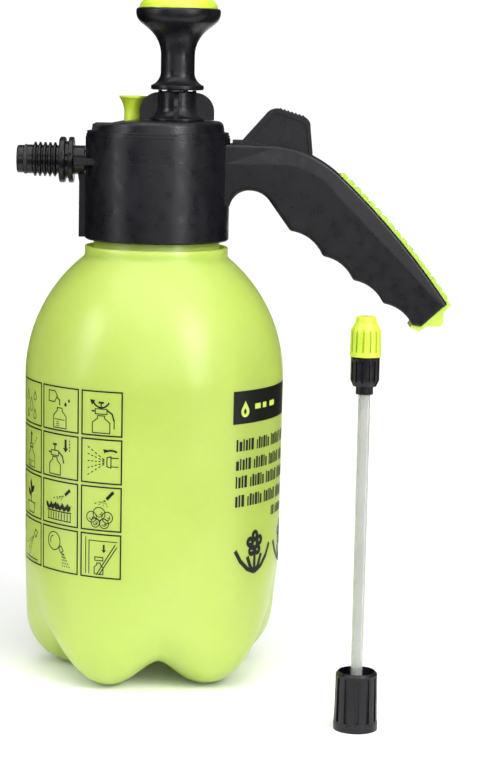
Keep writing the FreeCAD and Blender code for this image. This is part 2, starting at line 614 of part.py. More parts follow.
def make_manifold():
    """Core of the head: holds the pump, the relief valve, the outlet and the trigger valve."""
    body = new_body("manifold")
    revolve(body, [line(0, S.ledge_top - 4), line(S.manifold_plug, S.ledge_top - 4),
                   line(S.manifold_plug, S.ledge_top), line(S.manifold_radius, S.ledge_top),
                   line(S.manifold_radius, S.manifold_top), line(0, S.manifold_top)])
    floor = S.manifold_top - 2
    extrude(body, "XY_Plane", S.pump_boss_top - floor, circles=[(S.pump_axis_x, 0, S.pump_boss_radius)],
            offset=floor, both=False)
    extrude(body, "XY_Plane", 10, circles=[(S.relief_x, S.relief_y, 7.0)], offset=floor, both=False)
    extrude(body, "YZ_Plane", S.spigot_inner + 7 - 20, circles=[(0, S.outlet_height, S.outlet_boss)],
            offset=-20, both=False, back=True)
    arm = [line(20, -S.valve_arm_half), line(S.valve_x + 6, -S.valve_arm_half),
           line(S.valve_x + 6, S.valve_arm_half), line(20, S.valve_arm_half)]
    extrude(body, "XY_Plane", S.valve_top - S.valve_arm_bottom, [arm], offset=S.valve_arm_bottom, both=False)
    # pump bore with a wider threaded mouth
    pump = [(S.pump_bore, 230, 300), (S.thread_bore, S.thread_floor, 300)]
    for radius, low, high in pump:
        extrude(body, "XY_Plane", size_of(high) - low, circles=[(S.pump_axis_x, 0, radius)],
                offset=high, both=False, cut=True)
    # relief passage: a seat below and a guide above
    extrude(body, "XY_Plane", 30, circles=[(S.relief_x, S.relief_y, 1.6)], offset=260, both=False, cut=True)
    extrude(body, "XY_Plane", 20, circles=[(S.relief_x, S.relief_y, 5.2)],
            offset=S.relief_seat_height + 20, both=False, cut=True)
    # dip tube socket from below
    extrude(body, "XY_Plane", S.dip_top - 230, circles=[(S.dip_x, 0, S.dip_radius)], offset=S.dip_top,
            both=False, cut=True)
    # valve chamber, seat hole and stem guide
    extrude(body, "XY_Plane", S.valve_seat_height - 235, circles=[(S.valve_x, 0, S.valve_chamber)],
            offset=S.valve_seat_height, both=False, cut=True)
    extrude(body, "XY_Plane", 3.6, circles=[(S.valve_x, 0, 2.6)],
            offset=S.valve_seat_height + 3.2, both=False, cut=True)
    extrude(body, "XY_Plane", 20, circles=[(S.valve_x, 0, S.valve_stem_radius + 0.06)],
            offset=S.valve_top + 1, both=False, cut=True)
    extrude(body, "XY_Plane", 1.6, circles=[(S.valve_x, 0, 3.2)],
            offset=S.valve_top, both=False, cut=True)
    # inlet and outlet passages along X
    for height in (S.inlet_height, S.gallery_height):
        start = S.dip_x if height.text == S.inlet_height.text else S.gallery_radius
        extrude(body, "YZ_Plane", S.valve_x - start, circles=[(0, height, S.passage)],
                offset=S.valve_x, both=False, cut=True)
    extrude(body, "YZ_Plane", S.spigot_inner + 20 - S.gallery_radius + 3,
            circles=[(0, S.outlet_height, S.outlet_socket)],
            offset=-S.spigot_inner, both=False, cut=True, back=False)
    # half-ring gallery round the pump
    gallery = add_sketch(body, "XZ_Plane", circles=[(-S.gallery_radius, S.gallery_height, S.passage)])
    groove = body.newObject("PartDesign::Groove", "Gallery")
    groove.Profile = gallery
    groove.ReferenceAxis = (gallery, ["V_Axis"])
    groove.Angle = 180.0
    groove.Reversed = True


def make_valve():
    """The trigger valve: stem with its head, head seal, gland ring, spring and closing plug."""
    stem = new_body("valve_stem")
    radius = S.valve_stem_radius
    head = S.valve_seat_height
    revolve(stem, [line(0, head - 2.2), line(2.9, head - 2.2), line(2.9, head - 1.1), line(radius, head - 1.1),
                   line(radius, S.valve_stem_top - 0.4), line(radius - 0.4, S.valve_stem_top),
                   line(0, S.valve_stem_top)])
    place(stem, S.valve_x)
    ring("valve_seal", radius, 3.2, 1.1, S.valve_x, 0, head - 1.1)
    ring("valve_gland_ring", radius + 0.05, 3.2, 1.4, S.valve_x, 0, S.valve_top - 1.5)
    plug = new_body("valve_plug")
    revolve(plug, [line(0, 241.9), line(S.valve_chamber, 241.9), line(S.valve_chamber, 243.0),
                   line(1.2, 243.0), line(1.2, 244.0), line(0, 244.0)])
    place(plug, S.valve_x)
    spring("valve_spring", 2.2, 0.3, 243.3, head - 2.55, 3, S.valve_x, 0)


def spring(label, radius, wire, low, high, turns, x, y):
    """A helical compression spring between two heights."""
    low, high = size_of(low), size_of(high)
    helix = DOC.addObject("Part::Helix", label + "_path")
    bind(helix, "Radius", radius)
    bind(helix, "Height", high - low)
    bind(helix, "Pitch", (high - low) / turns)
    profile = DOC.addObject("Part::Circle", label + "_wire")
    bind(profile, "Radius", wire)
    profile.Placement = FreeCAD.Placement(V(radius, 0, 0), FreeCAD.Rotation(V(1, 0, 0), 90))
    sweep = DOC.addObject("Part::Sweep", label)
    sweep.Label = label
    sweep.Sections = [profile]
    sweep.Spine = (helix, [])
    sweep.Solid = True
    sweep.Frenet = True
    place(sweep, x, y, low)
    SUBPARTS.append(sweep)


def make_relief_valve():
    """Pull-up knob that lets the pressure out, its spring and its seat seal."""
    knob = new_body("relief_knob")
    stem = S.relief_stem - 1.0
    top = S.relief_top
    seat = S.relief_seat_height
    revolve(knob, [line(0, seat + 1.5), line(3.6, seat + 1.5), line(3.6, seat + 2.9), line(stem, seat + 2.9),
                   line(stem, 262.5),
                   line(S.relief_neck, 262.5), line(S.relief_neck, 273.5),
                   arc(S.relief_flare, top - 0.7, 13.0, -1), line(S.relief_flare, top),
                   line(S.relief_flare - 1.4, top), line(2.6, top - 4.5), line(0, top - 4.5)])
    place(knob, S.relief_x, S.relief_y)
    ring("relief_seal", 1.7, 3.6, 1.4, S.relief_x, S.relief_y, seat + 0.05)
    collar = new_body("relief_guide")
    revolve(collar, [line(stem + 0.06, 259.6), line(5.2, 259.6), line(5.2, 261.6), line(stem + 0.06, 261.6)])
    place(collar, S.relief_x, S.relief_y)
    spring("relief_spring", 3.1, 0.4, seat + 3.4, 259.1, 3, S.relief_x, S.relief_y)


def make_outlet():
    """Threaded outlet spigot with its two round flanges, and its inner and outer O-rings."""
    body = new_body("outlet_spigot")
    bore, plain, tip = S.outlet_bore, S.spigot_plain, S.spigot_tip
    flange = S.flange_radius
    socket = S.outlet_socket - 0.05
    corners = [line(bore, S.spigot_inner), line(socket, S.spigot_inner), line(socket, S.spigot_inner + 2),
               line(socket - 1.2, S.spigot_inner + 2), line(socket - 1.2, S.spigot_inner + 4),
               line(socket, S.spigot_inner + 4), line(socket, 35.3), line(plain, 35.3), line(plain, 40.6),
               line(flange - 0.6, 40.6), arc(flange, 41.2, 0.6, 1), line(flange, 42.4),
               arc(flange - 0.6, 43.0, 0.6, 1), line(9.0, 43.0), line(9.0, 44.5), line(flange - 1.0, 44.5),
               arc(flange, 45.5, 1.0, 1), line(flange, 46.6), arc(flange - 1.0, 47.6, 1.0, 1),
               line(plain - 0.15, 47.6)]
    corners += ridge_rings(plain - 0.15, S.spigot_crest, S.spigot_thread_start + 1.2, S.spigot_pitch,
                           DIMENSIONS["spigot_thread_count"], 0.95, 0.35)
    corners += [line(plain, 60.7), line(plain, 63.0), line(plain - 1.6, 63.0), line(plain - 1.6, 64.9),
                line(S.spigot_tip_radius, 64.9), line(S.spigot_tip_radius, tip - 1.0),
                arc(S.spigot_tip_radius - 1.0, tip, 1.0, 1), line(bore, tip)]
    revolve(body, corners)
    place(body, 0, 0, S.outlet_height, V(0, 1, 0), -90)
    o_ring("outlet_tip_ring", S.spigot_plain + 0.25, 0.92, -63.95, 0, S.outlet_height, V(0, 1, 0), -90)
    o_ring("outlet_inner_ring", S.outlet_socket, 0.6, -S.spigot_inner - 3, 0, S.outlet_height,
           V(0, 1, 0), -90)


# ---------------------------------------------------------------- pump
def make_pump_cap():
    """Winged cap that screws the pump unit into the head."""
    body = new_body("pump_cap")
    base = S.cap_top + 0.3
    plug, crest = S.pump_plug_radius, S.pump_thread_crest
    corners = [line(S.barrel_radius, 256.5), line(plug, 256.5)]
    corners += ridge_rings(plug, crest, 259.0, 3.0, 3, 0.8, 0.3)
    corners += [line(plug, base), line(S.pump_cap_base, base), line(S.pump_cap_base, base + 0.8),
                arc(S.pump_cap_neck, base + 6.0, 6.5, -1), line(S.pump_cap_neck, S.pump_cap_top - 0.5),
                line(S.pump_cap_neck - 0.5, S.pump_cap_top), line(S.bush_radius, S.pump_cap_top),
                line(S.bush_radius, 274.0), line(S.rod_radius + 1.2, 274.0),
                line(S.rod_radius + 1.2, S.barrel_top), line(S.barrel_radius, S.barrel_top)]
    revolve(body, corners)
    span, top = S.wing_span, S.pump_cap_top
    wing = [line(8.2, base + 0.2), line(span, base + 0.2), line(span, base + 4.2),
            arc(span - 8.2, top - 0.6, 9.2, 1), line(8.2, top - 0.6)]
    blade = extrude(body, "XZ_Plane", S.wing_thick, [wing])
    polar(body, [blade], 4)
    nub = extrude(body, "XY_Plane", 0.7, circles=[(8.3, 0, 0.95)], offset=S.pump_cap_top - 0.2, both=False)
    polar(body, [nub], 6)
    place(body, S.pump_axis_x)


def make_pump():
    """Barrel, guide, rod, piston, valves and the push handle of the air pump."""
    barrel = new_body("pump_barrel")
    low, floor = S.barrel_bottom, S.barrel_floor
    revolve(barrel, [line(0, low), line(S.barrel_radius, low), line(S.barrel_radius, S.barrel_top),
                     line(S.barrel_bore, S.barrel_top), line(S.barrel_bore, low + floor), line(0, low + floor)])
    extrude(barrel, "XY_Plane", 20, circles=[(0, 0, 1.3)], offset=low + 10, both=False, cut=True)
    port = extrude(barrel, "XY_Plane", 20, circles=[(4.5, 0, 1.2)], offset=low + 10, both=False, cut=True)
    polar(barrel, [port], 4)
    place(barrel, S.pump_axis_x)
    valve = new_body("check_valve")
    revolve(valve, [line(0, low - 3.0), line(6.5, low - 1.2), line(7.0, low), line(1.25, low),
                    line(1.25, low + floor + 0.1), line(1.9, low + floor + 0.1), line(0.6, low + floor + 2.0),
                    line(0, low + floor + 2.0)])
    place(valve, S.pump_axis_x)
    ring("barrel_seal", S.barrel_radius + 0.05, S.thread_bore - 0.1, 3.2, S.pump_axis_x, 0, 253.1)
    ring("rod_bush", S.rod_bush_bore, S.bush_radius, S.pump_cap_top - 274.4, S.pump_axis_x, 0, 274.2)

    rod = new_body("piston_rod")
    foot = S.piston_bottom
    revolve(rod, [line(0, foot + 2.5), line(2.9, foot + 2.5), line(2.9, foot + S.piston_height),
                  line(S.rod_radius, foot + S.piston_height + 0.1), line(S.rod_radius, S.handle_web),
                  line(0, S.handle_web)])
    place(rod, S.pump_axis_x)
    piston = new_body("piston")
    radius, height = S.piston_radius, S.piston_height
    revolve(piston, [line(0, foot), line(radius, foot), line(radius, foot + 3.4), line(7.6, foot + 3.4),
                     line(7.6, foot + 6.6), line(radius, foot + 6.6), line(radius, foot + height),
                     line(2.95, foot + height), line(2.95, foot + 2.4), line(0, foot + 2.4)])
    place(piston, S.pump_axis_x)
    cup = new_body("piston_seal")
    revolve(cup, [line(7.65, foot + 3.5), line(9.7, foot + 3.5), line(S.piston_seal_outer, foot + 5.9),
                  line(9.2, foot + 6.5), line(7.65, foot + 6.5)])
    place(cup, S.pump_axis_x)

    handle = new_body("pump_handle")
    disc, shaft = S.handle_disc_radius, S.handle_shaft
    disc_low, disc_high = S.handle_disc_bottom, S.handle_disc_top
    top, rim = S.handle_top, S.handle_radius
    revolve(handle, [
        line(S.rod_radius, disc_low), line(disc - 0.7, disc_low), arc(disc, disc_low + 0.7, 0.7, 1),
        line(disc, disc_high - 0.6), arc(disc - 0.6, disc_high, 0.6, 1),
        line(S.handle_flare, disc_high + 0.2), arc(shaft, S.handle_flare_top, 6.8, -1),
        line(shaft, 303.5), arc(14.4, 316.0, 16.0, -1), line(17.6, 318.5), arc(rim, top - 1.6, 6.8, 1),
        arc(rim - 1.3, top, 1.4, 1), line(S.insert_radius, top), line(S.insert_radius, top - 3.0),
        line(0, top - 3.0), line(0, S.handle_web), line(S.rod_radius, S.handle_web)])
    place(handle, S.pump_axis_x)
    insert = new_body("handle_insert")
    flat = S.insert_radius - 4.2
    crown = 2.0
    crown_radius = (flat * flat + crown * crown) / (crown * 2)
    revolve(insert, [line(0, top - 3.0), line(S.insert_radius, top - 3.0), line(S.insert_radius, top + 0.4),
                     arc(flat, S.insert_top - crown, 5.6, 1), arc(0, S.insert_top, crown_radius, 1)])
    place(insert, S.pump_axis_x)


def make_dip_tube():
    tube = new_body("dip_tube")
    revolve(tube, [line(S.dip_bore, S.dip_bottom), line(S.dip_radius, S.dip_bottom),
                   line(S.dip_radius, S.dip_top), line(S.dip_bore, S.dip_top)])
    place(tube, S.dip_x)
    filter_cup = new_body("strainer")
    low = S.dip_bottom - 4
    revolve(filter_cup, [line(0, low), line(3.6, low), line(3.6, S.dip_bottom + 8),
                         line(S.dip_radius, S.dip_bottom + 8), line(S.dip_radius, S.dip_bottom),
                         line(2.6, S.dip_bottom), line(2.6, low + 1.2), line(0, low + 1.2)])
    hole = extrude(filter_cup, "XZ_Plane", 12, [[line(-0.6, low + 1.6), line(0.6, low + 1.6),
                                                 line(0.6, low + 3.4), line(-0.6, low + 3.4)]], cut=True)
    polar(filter_cup, [hole], 5)
    place(filter_cup, S.dip_x)


# ---------------------------------------------------------------- lance
def ribbed(body, count, radius, low, high, width, depth):
    """Cuts even slots down the outside of a turned piece, which leaves its grip ribs."""
    outer = size_of(radius) + 3
    slot = [line(size_of(radius) - depth, low), line(outer, low), line(outer, high),
            line(size_of(radius) - depth, high)]
    cut = extrude(body, "XZ_Plane", width, [slot], cut=True)
    polar(body, [cut], count)


def make_lance():
    x, y = S.lance_x, S.lance_y
    tube = new_body("lance_tube")
    revolve(tube, [line(S.lance_tube_bore, S.lance_tube_bottom), line(S.lance_tube_radius, S.lance_tube_bottom),
                   line(S.lance_tube_radius, S.lance_tube_top), line(S.lance_tube_bore, S.lance_tube_top)])
    place(tube, x, y)

    ferrule = new_body("lance_ferrule")
    outer, bore = S.lance_tube_radius, S.lance_tube_bore
    revolve(ferrule, [line(1.2, 9.4), line(7.4, 9.4), line(7.4, 11.6), line(4.4, 11.6), line(4.4, 20.5),
                      line(outer, 20.5), line(outer, S.lance_tube_bottom), line(1.2, S.lance_tube_bottom)])
    place(ferrule, x, y)
    ring("lance_seal", 1.4, 7.2, 1.4, x, y, 8.0)

    nut = new_body("lance_nut")
    height = S.nut_height
    bore, crest = S.nut_bore, S.nut_thread_crest
    corners = [line(bore, 0), line(S.nut_radius, 0), line(S.nut_radius, 3.4), line(S.nut_radius - 0.15, 3.4),
               line(S.nut_top_radius, height - 1.2), line(S.nut_top_radius - 1.0, height),
               line(8.2, height), line(7.9, 14.6), line(4.75, 14.6), line(4.75, 12.0), line(bore, 12.0)]
    corners += list(reversed(ridge_rings(bore, crest, 2.2, 2.4, 3, 0.8, 0.3)))
    revolve(nut, corners)
    ribbed(nut, S.nut_rib_count, 9.85, 4.2, height - 2.2, 1.9, 1.0)
    place(nut, x, y)

    body = new_body("nozzle_body")
    low = S.nozzle_bottom
    revolve(body, [line(outer, 154.9), line(3.9, 154.9), line(3.9, 158.6), line(5.3, 158.6), line(6.5, 161.4),
                   line(6.5, low - 0.6), line(4.6, low - 0.6), line(4.6, 177.9), line(4.0, 177.9),
                   line(4.0, 179.1), line(4.6, 179.1), line(4.6, 181.0), line(1.0, 181.0),
                   line(1.0, S.lance_tube_top), line(outer, S.lance_tube_top)])
    ribbed(body, S.body_rib_count, 6.5, 160.5, low - 1.8, 1.0, 0.7)
    place(body, x, y)
    o_ring("nozzle_ring", 5.1, 0.55, x, y, 178.5)
    core = new_body("swirl_core")
    revolve(core, [line(0, 181.05), line(2.2, 181.05), line(2.2, 184.5), line(0.9, 186.0), line(0, 186.0)])
    groove = extrude(core, "XZ_Plane", 0.7, [[line(1.4, 180), line(3, 180), line(3, 190), line(1.4, 190)]],
                     cut=True)
    polar(core, [groove], 3)
    place(core, x, y)

    cap = new_body("nozzle_cap")
    rim, top = S.nozzle_rim, S.nozzle_top
    revolve(cap, [line(5.4, low), line(rim, low), line(rim, low + 1.0), line(6.8, 183.5), line(4.9, 187.2),
                  line(4.5, top - 0.4), line(3.7, top), line(0.8, top), line(0.8, top - 3.2),
                  line(2.5, top - 4.6), line(5.4, 182.5)])
    ribbed(cap, S.nozzle_rib_count, 6.95, low + 2.2, 186.2, 1.1, 0.8)
    place(cap, x, y)


# ---------------------------------------------------------------- build, check and write
def check_document():
    """Stops when a feature failed, or when a sub-part has no valid solid."""
    DOC.recompute()
    for item in DOC.Objects:
        bad = [state for state in item.State if state in ("Invalid", "Error")]
        if bad:
            raise RuntimeError("%s is %s" % (item.Name, ", ".join(bad)))
    for part in SUBPARTS:
        shape = part.Shape
        if shape.isNull() or not shape.isValid() or not shape.Solids:
            raise RuntimeError("%s has no valid solid" % part.Label)
        print("%-18s %8.1f mm3  solids %d" % (part.Label, shape.Volume, len(shape.Solids)))


def main():
    make_bottle()
    ring("neck_gasket", S.gasket_inner, S.gasket_outer, S.gasket_height, 0, 0, S.mouth_height)
    make_lower_housing()
    make_upper_housing()
    make_grip_strip()
    make_trigger()
    make_trigger_pin()
    make_top_cap()
    make_manifold()
    make_valve()
    make_relief_valve()
    make_outlet()
    make_pump_cap()
    make_pump()
    make_dip_tube()
    make_lance()
    check_document()
    os.makedirs("parts", exist_ok=True)
    for part in SUBPARTS:
        part.Shape.exportStep("parts/%s.step" % part.Label)


main()
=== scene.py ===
"""Looks of the two-litre hand pump sprayer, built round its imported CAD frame.

Lengths are in millimetres until they are put in a mesh, where they become metres. The camera,
the stage and the upper shell's lean are in metres from the start.
"""

import json
import math

import bpy
import numpy as np
from mathutils import Matrix
from mathutils.geometry import tessellate_polygon


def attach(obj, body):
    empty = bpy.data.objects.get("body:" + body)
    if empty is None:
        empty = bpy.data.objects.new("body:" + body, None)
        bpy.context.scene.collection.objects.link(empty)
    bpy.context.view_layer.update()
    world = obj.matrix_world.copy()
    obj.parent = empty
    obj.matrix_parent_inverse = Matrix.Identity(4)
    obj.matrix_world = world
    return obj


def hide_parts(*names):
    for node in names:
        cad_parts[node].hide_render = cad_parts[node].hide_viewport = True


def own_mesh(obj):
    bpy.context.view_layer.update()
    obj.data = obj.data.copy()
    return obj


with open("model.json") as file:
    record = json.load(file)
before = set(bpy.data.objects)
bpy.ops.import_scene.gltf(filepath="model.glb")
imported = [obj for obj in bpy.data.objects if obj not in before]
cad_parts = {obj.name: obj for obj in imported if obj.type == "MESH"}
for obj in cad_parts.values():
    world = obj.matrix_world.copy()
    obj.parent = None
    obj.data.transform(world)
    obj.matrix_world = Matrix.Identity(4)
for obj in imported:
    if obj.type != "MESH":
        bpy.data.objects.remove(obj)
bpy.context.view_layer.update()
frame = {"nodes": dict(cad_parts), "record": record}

MM = 0.001


# ---------------------------------------------------------------- camera, floor and light
# Places are in metres, angles in degrees and the soft boxes' powers in watts.
LENS = 109.03
SENSOR_WIDTH = 36.0
CAMERA_PLACE = (0.0414, -1.131, 0.3071)
CAMERA_TILT = 81.81
CAMERA_ROLL = 1.15
VIEW_END = 20.0

WORLD_STRENGTH = 0.16
SUN = {"azimuth": 8, "elevation": 74, "strength": 3.15, "softness": 75}
BODY_AIM = (0.0, 0.0, 0.30)
SHOULDER_AIM = (0.0, 0.0, 0.18)
SKY_AIM = (0.0, 0.0, 0.25)
SOFT_BOXES = [  # name, place, aim, width and height, power
    ("box_right", (0.72, -0.86, 0.50), BODY_AIM, (0.28, 0.8), 6.4),
    ("box_left", (-0.98, -0.52, 0.50), BODY_AIM, (0.26, 0.8), 3.6),
    ("spot_right", (0.62, -0.69, 0.78), SHOULDER_AIM, (0.34, 0.34), 4.6),
    ("spot_left", (-0.84, -0.39, 0.78), SHOULDER_AIM, (0.34, 0.34), 2.4),
    ("sky_front", (0.1, -2.0, 0.64), SKY_AIM, (1.7, 0.8), 10.0),
]

FLOOR_REACH = 6.0
FLOOR_FRONT = -0.28
FLOOR_HEIGHT = -0.0002
FLOOR_COLOUR = (0.93, 0.935, 0.925)
ROOM_HALF = 8
ROOM_GLOW = 1.05
FLAG_PLACES = {"flag_left": -0.19, "flag_right": 0.26}
FLAG_FRONT, FLAG_BACK, FLAG_TOP = -0.04, 0.6, 0.5
BLACK = (0, 0, 0)
WHITE = (1, 1, 1)


def make_camera():
    """A long lens, a little above the object and looking slightly down on it."""
    data = bpy.data.cameras.new("camera")
    data.lens = LENS
    data.sensor_width = SENSOR_WIDTH
    data.clip_end = VIEW_END
    camera = bpy.data.objects.new("camera", data)
    bpy.context.scene.collection.objects.link(camera)
    tilt = Matrix.Rotation(math.radians(CAMERA_TILT), 4, "X")
    roll = Matrix.Rotation(math.radians(CAMERA_ROLL), 4, "Z")
    camera.matrix_world = Matrix.Translation(CAMERA_PLACE) @ tilt @ roll
    bpy.context.scene.camera = camera


def area_light(name, place, aim, size, power):
    """A rectangular soft box that faces a point."""
    data = bpy.data.lights.new(name, "AREA")
    data.shape = "RECTANGLE"
    data.size, data.size_y = size
    data.energy = power
    light = bpy.data.objects.new(name, data)
    bpy.context.scene.collection.objects.link(light)
    toward = np.array(aim, float) - np.array(place, float)
    yaw = math.atan2(-toward[0], toward[1])
    pitch = math.atan2(toward[2], math.hypot(toward[0], toward[1]))
    turn = Matrix.Rotation(yaw, 4, "Z") @ Matrix.Rotation(pitch + math.pi / 2, 4, "X")
    light.matrix_world = Matrix.Translation(place) @ turn


def sun_light(name, azimuth, elevation, strength, softness):
    """A wide soft sun; its azimuth is counted to the right from the front."""
    data = bpy.data.lights.new(name, "SUN")
    data.energy = strength
    data.angle = math.radians(softness)
    light = bpy.data.objects.new(name, data)
    bpy.context.scene.collection.objects.link(light)
    turn = Matrix.Rotation(math.radians(azimuth), 4, "Z")
    light.matrix_world = turn @ Matrix.Rotation(math.radians(90 - elevation), 4, "X")


def stage_panel(name, corners, colour, glow=0.0, faces=((0, 1, 2, 3),)):
    """Flat stage sheets: painted paper, or evenly glowing when they have a glow."""
    mesh = bpy.data.meshes.new(name)
    mesh.from_pydata(corners, [], faces)
    panel = bpy.data.objects.new(name, mesh)
    bpy.context.scene.collection.objects.link(panel)
    material = bpy.data.materials.new(name)
    material.use_nodes = True
    shader = material.node_tree.nodes["Principled BSDF"]
    shader.inputs["Base Color"].default_value = (*colour, 1)
    shader.inputs["Roughness"].default_value = 0.9
    shader.inputs["Specular IOR Level"].default_value = 0.1
    shader.inputs["Emission Color"].default_value = (*WHITE, 1)
    shader.inputs["Emission Strength"].default_value = glow
    panel.data.materials.append(material)
    return panel


def make_studio():
    """A white room: pale floor, glowing walls, soft sun, soft boxes and two black side flags."""
    scene = bpy.context.scene
    scene.view_settings.view_transform = "Standard"
    world = bpy.data.worlds.new("surround")
    world.use_nodes = True
    background = world.node_tree.nodes["Background"]
    background.inputs["Color"].default_value = (*WHITE, 1)
    background.inputs["Strength"].default_value = WORLD_STRENGTH
    scene.world = world
    sun_light("soft_sun", **SUN)
    for box in SOFT_BOXES:
        area_light(*box)

    reach = FLOOR_REACH
    ends = [(-reach, FLOOR_FRONT), (reach, FLOOR_FRONT), (reach, reach), (-reach, reach)]
    stage_panel("floor", [(x, y, FLOOR_HEIGHT) for x, y in ends], FLOOR_COLOUR)
    span = (-ROOM_HALF, ROOM_HALF)
    room = [(x, y, z) for x in span for y in span for z in span]
    walls = [(0, 1, 3, 2), (4, 6, 7, 5), (0, 4, 5, 1), (2, 3, 7, 6), (0, 2, 6, 4), (1, 5, 7, 3)]
    back = stage_panel("backdrop", room, BLACK, ROOM_GLOW, walls)
    back.visible_diffuse = back.visible_glossy = back.visible_transmission = False
    back.visible_shadow = False
    for name, x in FLAG_PLACES.items():
        corners = [(x, FLAG_FRONT, 0), (x, FLAG_BACK, 0), (x, FLAG_BACK, FLAG_TOP),
                   (x, FLAG_FRONT, FLAG_TOP)]
        flag = stage_panel(name, corners, BLACK)
        flag.visible_camera = flag.visible_shadow = flag.visible_transmission = False


# ---------------------------------------------------------------- materials
NOISE_LOW, NOISE_HIGH = 0.35, 0.65  # where most of a noise's values lie


class Surface:
    """A procedural material being put together; sizes of detail are in millimetres."""

    def __init__(self, name, colour, roughness, **sockets):
        self.material = bpy.data.materials.new(name)
        self.material.use_nodes = True
        self.tree = self.material.node_tree
        self.shader = self.tree.nodes["Principled BSDF"]
        self.shader.inputs["Base Color"].default_value = (*colour, 1)
        self.shader.inputs["Roughness"].default_value = roughness
        for socket, value in sockets.items():
            self.shader.inputs[socket.replace("_", " ")].default_value = value
        self.colour, self.roughness = colour, roughness
        self.place = self.tree.nodes.new("ShaderNodeTexCoord").outputs["Object"]
        self.relief = None

    def link(self, source, target):
        """Joins two sockets."""
        self.tree.links.new(source, target)

    def noise(self, size, detail=2.0, stretch=None, roughness=0.5):
        """Noise whose blobs are about this many millimetres across."""
        node = self.tree.nodes.new("ShaderNodeTexNoise")
        node.inputs["Scale"].default_value = 1000.0 / size
        node.inputs["Detail"].default_value = detail
        node.inputs["Roughness"].default_value = roughness
        place = self.place
        if stretch:
            mapping = self.tree.nodes.new("ShaderNodeMapping")
            mapping.inputs["Scale"].default_value = stretch
            self.link(place, mapping.inputs["Vector"])
            place = mapping.outputs["Vector"]
        self.link(place, node.inputs["Vector"])
        return node.outputs["Fac"]

    def cells(self, size):
        """Rounded cells about this many millimetres across, as on an etched mould."""
        node = self.tree.nodes.new("ShaderNodeTexVoronoi")
        node.inputs["Scale"].default_value = 1000.0 / size
        self.link(self.place, node.inputs["Vector"])
        return node.outputs["Distance"]

    def remap(self, source, low, high, to_low, to_high):
        """Moves a value from one range to another and clamps it."""
        node = self.tree.nodes.new("ShaderNodeMapRange")
        ends = {"From Min": low, "From Max": high, "To Min": to_low, "To Max": to_high}
        for name, value in ends.items():
            node.inputs[name].default_value = value
        self.link(source, node.inputs["Value"])
        return node.outputs["Result"]

    def tint(self, mask, colour):
        """Mixes another colour in where the mask is high."""
        node = self.tree.nodes.new("ShaderNodeMix")
        node.data_type = "RGBA"
        links = self.shader.inputs["Base Color"].links
        if links:
            self.link(links[0].from_socket, node.inputs["A"])
        else:
            node.inputs["A"].default_value = (*self.colour, 1)
        node.inputs["B"].default_value = (*colour, 1)
        self.link(mask, node.inputs["Factor"])
        self.link(node.outputs["Result"], self.shader.inputs["Base Color"])

    def vary_roughness(self, source, spread):
        """Roughness that wanders either side of its middle value."""
        low, high = self.roughness - spread, self.roughness + spread
        self.link(self.remap(source, NOISE_LOW, NOISE_HIGH, low, high),
                  self.shader.inputs["Roughness"])

    def bump(self, height, depth):
        """Adds relief of this depth in millimetres on top of any that is there."""
        node = self.tree.nodes.new("ShaderNodeBump")
        node.inputs["Distance"].default_value = depth * MM
        node.inputs["Strength"].default_value = 1.0
        self.link(height, node.inputs["Height"])
        if self.relief:
            self.link(self.relief, node.inputs["Normal"])
        self.relief = node.outputs["Normal"]
        self.link(self.relief, self.shader.inputs["Normal"])

    def soften(self, radius):
        """Rounds sharp edges by this many millimetres in the shading."""
        node = self.tree.nodes.new("ShaderNodeBevel")
        node.samples = 4
        node.inputs["Radius"].default_value = radius * MM
        self.relief = node.outputs["Normal"]
        self.link(self.relief, self.shader.inputs["Normal"])


def make_black(name, colour, roughness, grain, depth, edge):
    """Black polypropylene with an etched grain, faint flow clouds and fine scuffs."""
    surface = Surface(name, colour, roughness, Specular_IOR_Level=0.27)
    surface.soften(edge)
    lighter = tuple(part * 1.9 + 0.003 for part in colour)
    surface.tint(surface.remap(surface.noise(26, 3), 0.42, 0.72, 0, 0.5), lighter)
    specks = surface.noise(0.7, 3, roughness=0.7)
    surface.tint(surface.remap(specks, 0.56, 0.72, 0, 0.45),
                 tuple(part * 3 + 0.010 for part in colour))
    scuffs = surface.noise(3.2, 4, stretch=(1, 1, 0.16), roughness=0.7)
    surface.tint(surface.remap(scuffs, 0.64, 0.8, 0, 0.4),
                 tuple(part * 3 + 0.012 for part in colour))
    surface.vary_roughness(surface.noise(6, 4), 0.09)
    surface.bump(surface.cells(grain), depth)
    surface.bump(surface.noise(14, 2), 0.035)
    return surface.material


def make_bottle_plastic():
    """Translucent lime polyethylene, softly uneven as blow moulding leaves it."""
    surface = Surface("lime_bottle", (0.395, 0.55, 0.092), 0.33, Specular_IOR_Level=0.42,
                      Subsurface_Weight=0.6, Subsurface_Scale=0.012)
    surface.shader.inputs["Subsurface Radius"].default_value = (0.8, 1.0, 0.25)
    surface.tint(surface.remap(surface.noise(55, 2), 0.4, 0.7, 0, 0.2), (0.54, 0.72, 0.17))
    surface.vary_roughness(surface.noise(20, 3), 0.05)
    surface.bump(surface.noise(38, 1), 0.2)
    surface.bump(surface.noise(0.5, 2), 0.008)
    return surface.material


def make_green_plastic():
    """Lime moulded plastic of the knob, the cap and the nozzle."""
    surface = Surface("lime_moulded", (0.50, 0.66, 0.045), 0.38, Specular_IOR_Level=0.45,
                      Subsurface_Weight=0.25, Subsurface_Scale=0.003)
    surface.soften(0.3)
    surface.tint(surface.remap(surface.noise(9, 3), 0.45, 0.7, 0, 0.35), (0.60, 0.74, 0.09))
    surface.vary_roughness(surface.noise(4, 3), 0.06)
    surface.bump(surface.noise(0.45, 2), 0.012)
    return surface.material


